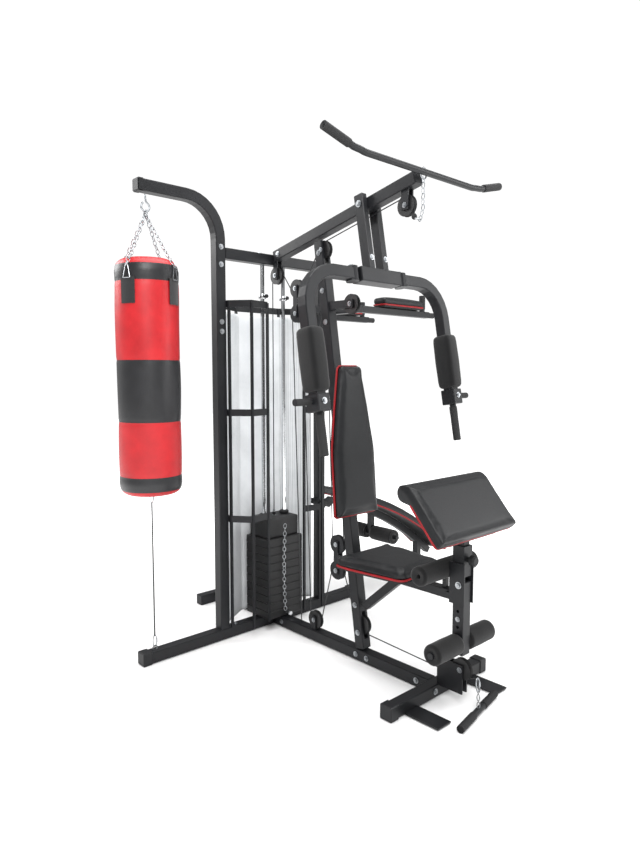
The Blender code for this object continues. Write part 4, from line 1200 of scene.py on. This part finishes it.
class GYM_OT_bag(bpy.types.Operator):
    """Stuffed punch bag in red and black bands, with its straps, chains and tether"""
    bl_idname = "gym.bag"
    bl_label = "Punch bag"

    def stuffed_body(self, low, radius, centre_y, tall):
        """The bag turned to its rounded ends, each band a little fuller than its seams."""
        seams = [0.0, 0.085, 0.315, 0.573, 0.896, 1.0]
        tones = [1, 0, 1, 0, 1]
        profile, slots = [(0, 0.010)], []

        def add(point, tone):
            profile.append(point)
            slots.append(tone)

        add((radius * 0.35, 0.001), 0)
        for share in range(11):
            turn = math.pi / 2 * share / 10
            height = 0.042 - 0.040 * math.cos(turn)
            add((radius * (0.66 + 0.32 * math.sin(turn)), height), 0 if height < 0.026 else 1)
        for start, end, tone in zip(seams, seams[1:], tones):
            span = (end - start) * tall
            steps = max(2, round(span / 0.012))
            for step in range(1, steps + 1):
                share = step / steps
                height = (start + (end - start) * share) * tall
                if 0.044 < height < tall - 0.052:
                    belly = min(1, span / 0.1) * 0.012 * math.sin(math.pi * share)
                    seam = 0.010 * math.exp(-((min(share, 1 - share) * span) / 0.004) ** 2)
                    add((radius * (0.985 + belly - seam), height), tone)
        for share in range(11):
            turn = math.pi / 2 * share / 10
            height = tall - 0.050 + 0.044 * math.sin(turn)
            add((radius * (0.58 + 0.40 * math.cos(turn)), height),
                1 if height < tall - 0.033 else 0)
        add((radius * 0.30, tall - 0.001), 0)
        add((0, tall), 0)
        bm = bmesh.new()
        base = Vector((0, centre_y, low.z))
        lathe(bm, profile, base, (0, 0, 1), 96, slots)
        for vertex in bm.verts:
            out = Vector((vertex.co.x, vertex.co.y - centre_y, 0))
            if out.length > 0.05:
                crease = noise.noise(Vector((vertex.co.x * 9, vertex.co.y * 9, vertex.co.z * 5)))
                vertex.co += out.normalized() * min(0.0012, crease * 0.0042 - 0.0008)
        bmesh.ops.recalc_face_normals(bm, faces=bm.faces)
        body = piece("bag_body", to_mesh(bm, "bag_body"), [red_vinyl(), bag_black()], "bag",
                     smooth=50)
        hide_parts("punch_bag")

    def straps_and_chains(self, radius, centre_y, top, knot):
        """Four webbing straps, their wire loops, and the chains up to the knot."""
        straps, lines = bmesh.new(), []
        rings = bmesh.new()
        for quarter in range(4):
            turn = math.radians(27 + 90 * quarter)
            out = Vector((math.cos(turn), math.sin(turn), 0))
            side = Vector((-out.y, out.x, 0))
            hub = Vector((0, centre_y, 0))
            rows = [(radius + 0.0015, top - 0.200), (radius + 0.0020, top - 0.150),
                    (radius + 0.0020, top - 0.105), (radius + 0.0016, top - 0.092)]
            width, grid = 0.032, []
            for far, height in rows:
                grid.append([(hub + out * far + side * width * across_share
                              + Vector((0, 0, height))
                              - out * (radius - math.sqrt(radius ** 2
                                                          - (width * across_share) ** 2)))
                             for across_share in (-1, -0.5, 0, 0.5, 1)])
            front = [[straps.verts.new(point + out * 0.0022) for point in row] for row in grid]
            back = [[straps.verts.new(point - out * 0.0006) for point in row] for row in grid]
            for face, other in ((front, False), (back, True)):
                for one, two in zip(face, face[1:]):
                    for index in range(4):
                        corners = (one[index], one[index + 1], two[index + 1], two[index])
                        straps.faces.new(corners[::-1] if other else corners)
            for index in range(4):
                straps.faces.new((front[0][index], back[0][index], back[0][index + 1],
                                  front[0][index + 1]))
                straps.faces.new((front[-1][index + 1], back[-1][index + 1], back[-1][index],
                                  front[-1][index]))
            for row in range(len(rows) - 1):
                straps.faces.new((front[row][0], front[row + 1][0], back[row + 1][0],
                                  back[row][0]))
                straps.faces.new((front[row + 1][4], front[row][4], back[row][4],
                                  back[row + 1][4]))
            foot = hub + out * (radius + 0.0055) + Vector((0, 0, top - 0.098))
            eye = hub + out * (radius + 0.0040) + Vector((0, 0, top - 0.042))
            loop = [foot - side * 0.016, foot + side * 0.016, eye + side * 0.004,
                    eye - side * 0.004]
            sweep(rings, [loop[index].lerp(loop[(index + 1) % 4], step / 5)
                          for index in range(4) for step in range(5)], 0.0022, 6, closed=True)
            shoulder = hub + out * radius * 0.78 + Vector((0, 0, top + 0.004))
            lines.append([eye, shoulder, knot - (knot - shoulder) * 0.04])
        for shape, name, coat, slot in ((straps, "bag_straps", webbing(), "bag_vinyl"),
                                        (rings, "strap_rings", zinc(), "chrome_rod")):
            bmesh.ops.recalc_face_normals(shape, faces=shape.faces)
            piece(name, to_mesh(shape, name), coat, "bag")
        chain("bag_chains", lines, "bag")
        loop = [knot + Vector((0.013 * math.cos(a), 0, 0.003 + 0.013 * math.sin(a)))
                for a in (2 * math.pi * step / 24 for step in range(24))]
        tube("bag_ring", loop, 0.0030, zinc(), "bag", 10, closed=True)

    def hook(self, centre_y, knot, top):
        """The round hook under the arm, bent from one bar."""
        eye = knot + Vector((0, 0, 0.030))
        bend = [eye + Vector((0, 0.019 * math.sin(turn), 0.019 * math.cos(turn)))
                for turn in (math.radians(20 + 310 * step / 28) for step in range(29))]
        shank = [Vector((0, centre_y, top + 0.004)), Vector((0, centre_y, eye.z + 0.040)),
                 eye + Vector((0, 0.002, 0.026))]
        tube("bag_hook", shank + bend, 0.0042, zinc(), "bag", 12)

    def tether(self, centre_y, bottom):
        """The cord to the floor frame, with a snap hook at each end."""
        hanging_hook("tether_hook_top", bottom + Vector((0, 0, 0.004)),
                     bottom - Vector((0, 0, 0.040)), 0.009, 0.0022, "bag")
        floor_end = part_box("bag_tether")[0].z
        start = Vector((0, centre_y, floor_end + 0.060))
        end = bottom - Vector((0, 0, 0.040))
        cord = tube("bag_tether_cord", divided(start, end, 40), 0.0032, cable_jacket(),
                    sides=10)
        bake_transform(cord)
        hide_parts("bag_tether")
        hanging_hook("tether_hook_low", start + Vector((0, 0, 0.004)),
                     Vector((0, centre_y, floor_end + 0.012)), 0.009, 0.0022, FRAME_BODY)
        eye = [Vector((0, centre_y + 0.011 * math.cos(a), floor_end + 0.006 + 0.011
                       * math.sin(a))) for a in (2 * math.pi * step / 16 for step in range(16))]
        tube("tether_eye", eye, 0.0028, zinc(), FRAME_BODY, 8, closed=True)

    def execute(self, context):
        low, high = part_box("punch_bag")
        radius = (high.x - low.x) / 2
        centre_y = (low.y + high.y) / 2
        tall = sizes().bag_height
        knot = Vector((0, centre_y, 1.935))
        self.stuffed_body(low, radius, centre_y, tall)
        self.straps_and_chains(radius, centre_y, low.z + tall, knot)
        self.hook(centre_y, knot, high.z)
        self.tether(centre_y, Vector((0, centre_y, low.z)))
        return {"FINISHED"}


class GYM_OT_stack(bpy.types.Operator):
    """Stack details: rear mesh panel, rod collars, selector chain and dampers"""
    bl_idname = "gym.stack"
    bl_label = "Weight stack"

    def execute(self, context):
        low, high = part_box("mesh_panel")
        fold_y = 0.126
        route = [(high.x - 0.001, low.y), (low.x + 0.001, -fold_y), (low.x + 0.001, fold_y),
                 (high.x - 0.001, high.y)]
        lengths = [math.dist(a, b) for a, b in zip(route, route[1:])]
        wide, tall = sum(lengths), high.z - low.z
        columns, rows = 64, 90
        bm = bmesh.new()
        grid = []
        for row in range(rows + 1):
            line = []
            for column in range(columns + 1):
                travel = wide * column / columns
                index = 0
                while index < 2 and travel > lengths[index]:
                    travel -= lengths[index]
                    index += 1
                share = travel / lengths[index]
                a, b = route[index], route[index + 1]
                x, y = a[0] + (b[0] - a[0]) * share, a[1] + (b[1] - a[1]) * share
                z = low.z + tall * row / rows
                ripple = 0.0016 * math.sin(z * 9 + 3 * y) * math.sin(math.pi * row / rows)
                line.append(bm.verts.new((x + ripple, y, z)))
            grid.append(line)
        for one, two in zip(grid, grid[1:]):
            for column in range(columns):
                bm.faces.new((one[column], one[column + 1], two[column + 1], two[column]))
        bmesh.ops.recalc_face_normals(bm, faces=bm.faces)
        panel = piece("rear_mesh", to_mesh(bm, "rear_mesh"), mesh_cloth(), FRAME_BODY,
                      smooth=60)
        wall = panel.modifiers.new("Cloth", "SOLIDIFY")
        wall.thickness = 0.0012
        wall.offset = 0
        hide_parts("mesh_panel")

        for word in ("left", "right"):
            rod_low, rod_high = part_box(f"guide_rod_{word}")
            y = (rod_low.y + rod_high.y) / 2
            turned(f"rod_collar_{word}",
                   [(0.0103, 0), (0.017, 0), (0.018, 0.002), (0.018, 0.022), (0.017, 0.024),
                    (0.0103, 0.024), (0.0103, 0)], (0, y, 1.630), (0, 0, 1), chrome(),
                   FRAME_BODY, 28)
            turned(f"collar_screw_{word}",
                   [(0, 0.020), (0.008, 0.020), (0.009, 0.018), (0.009, 0.010), (0.003, 0.008),
                    (0.003, 0), (0, 0)], (0.018, y, 1.642), (1, 0, 0), abs_plastic(), FRAME_BODY,
                   16)
            turned(f"stack_cushion_{word}",
                   [(0.0125, 0), (0.021, 0), (0.024, 0.004), (0.024, 0.012), (0.020, 0.0165),
                    (0.0125, 0.0165), (0.0125, 0)], (0, y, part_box("stack_head")[1].z - 0.0155),
                   (0, 0, 1), rubber_grip(), "stack", 28)
        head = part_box("stack_head")[1]
        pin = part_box("selector_pin")
        pin_z = (pin[0].z + pin[1].z) / 2
        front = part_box("weight_plate_10")[1].x + 0.008
        points = []
        for step in range(25):
            share = step / 24
            swing = math.sin(math.pi * share)
            points.append(Vector((front + 0.006 * swing, -0.010 - 0.012 * swing,
                                  head.z - 0.055 + (pin_z + 0.020 - head.z + 0.055) * share)))
        chain("selector_chain", [points], "stack")
        turned("stack_stud", [(0, 0.034), (0.004, 0.034), (0.0065, 0.026), (0.0065, 0.004),
                              (0.010, 0.002), (0.010, 0), (0, 0)],
               (0, 0, head.z - 0.018), (0, 0, 1), zinc(), "stack", 12)
        return {"FINISHED"}


class GYM_OT_stage(bpy.types.Operator):
    """Pale floor, soft lights and the camera"""
    bl_idname = "gym.stage"
    bl_label = "Stage"

    def execute(self, context):
        bm = bmesh.new()
        bmesh.ops.create_grid(bm, x_segments=1, y_segments=1, size=14)
        floor = piece("studio_floor", to_mesh(bm, "studio_floor"), studio_floor(), smooth=0)
        floor.data.transform(Matrix.Translation((0, 0, -0.0006)))
        world = bpy.data.worlds.new("studio")
        context.scene.world = world
        world.use_nodes = True
        back = world.node_tree.nodes["Background"]
        back.inputs["Color"].default_value = (1, 1, 1, 1)
        seen = node(world.node_tree, "ShaderNodeLightPath").outputs["Is Camera Ray"]
        glow = node(world.node_tree, "ShaderNodeMapRange",
                    {"Value": seen, "To Min": 0.36, "To Max": 1.05}).outputs[0]
        world.node_tree.links.new(glow, back.inputs["Strength"])
        lamps = [("key", (3.2, -2.6, 3.6), 1.8, 130), ("fill", (3.0, 2.6, 2.4), 2.0, 60),
                 ("rim", (-2.8, -1.8, 3.0), 2.0, 90), ("top", (0.6, 0.2, 4.6), 4.0, 230)]
        middle = Vector((0.3, 0, 0.95))
        for name, spot, size, power in lamps:
            data = bpy.data.lights.new(name, "AREA")
            data.size = size
            data.energy = power
            lamp = bpy.data.objects.new(name, data)
            context.scene.collection.objects.link(lamp)
            lamp.location = spot
            lamp.rotation_euler = (middle - Vector(spot)).to_track_quat("-Z", "Y").to_euler()
        data = bpy.data.cameras.new("camera")
        data.sensor_fit = "VERTICAL"
        data.sensor_height = 36
        data.lens = 27.43
        camera = bpy.data.objects.new("camera", data)
        context.scene.collection.objects.link(camera)
        camera.location = (2.535, -2.044, 1.28)
        camera.rotation_euler = (math.radians(85.15), 0, math.radians(47.02))
        context.scene.camera = camera
        context.scene.view_settings.view_transform = "Standard"
        return {"FINISHED"}


class GYM_PT_panel(bpy.types.Panel):
    """Builds the home gym's finish piece by piece"""
    bl_label = "Home gym"
    bl_idname = "GYM_PT_panel"
    bl_space_type = "VIEW_3D"
    bl_region_type = "UI"
    bl_category = "Home gym"

    def draw(self, context):
        for group in (context.scene.gym_colours, context.scene.gym_sizes):
            for name in group.bl_rna.properties.keys():
                if name not in ("name", "rna_type"):
                    self.layout.prop(group, name)
        for step in STEPS:
            self.layout.operator(step.bl_idname)


STEPS = [GYM_OT_steelwork, GYM_OT_cables, GYM_OT_bolts, GYM_OT_pads, GYM_OT_foams, GYM_OT_bars,
         GYM_OT_bag, GYM_OT_stack, GYM_OT_stage]
CLASSES = [GymColours, GymSizes, *STEPS, GYM_PT_panel]


def register():
    for item in CLASSES:
        bpy.utils.register_class(item)
    bpy.types.Scene.gym_colours = bpy.props.PointerProperty(type=GymColours)
    bpy.types.Scene.gym_sizes = bpy.props.PointerProperty(type=GymSizes)


def unregister():
    del bpy.types.Scene.gym_colours
    del bpy.types.Scene.gym_sizes
    for item in reversed(CLASSES):
        bpy.utils.unregister_class(item)


def main():
    register()
    home = bpy.data.collections.new(COLLECTION)
    bpy.context.scene.collection.children.link(home)
    for step in STEPS:
        group, name = step.bl_idname.split(".")
        getattr(getattr(bpy.ops, group), name)()


if __name__ == "__main__":
    main()
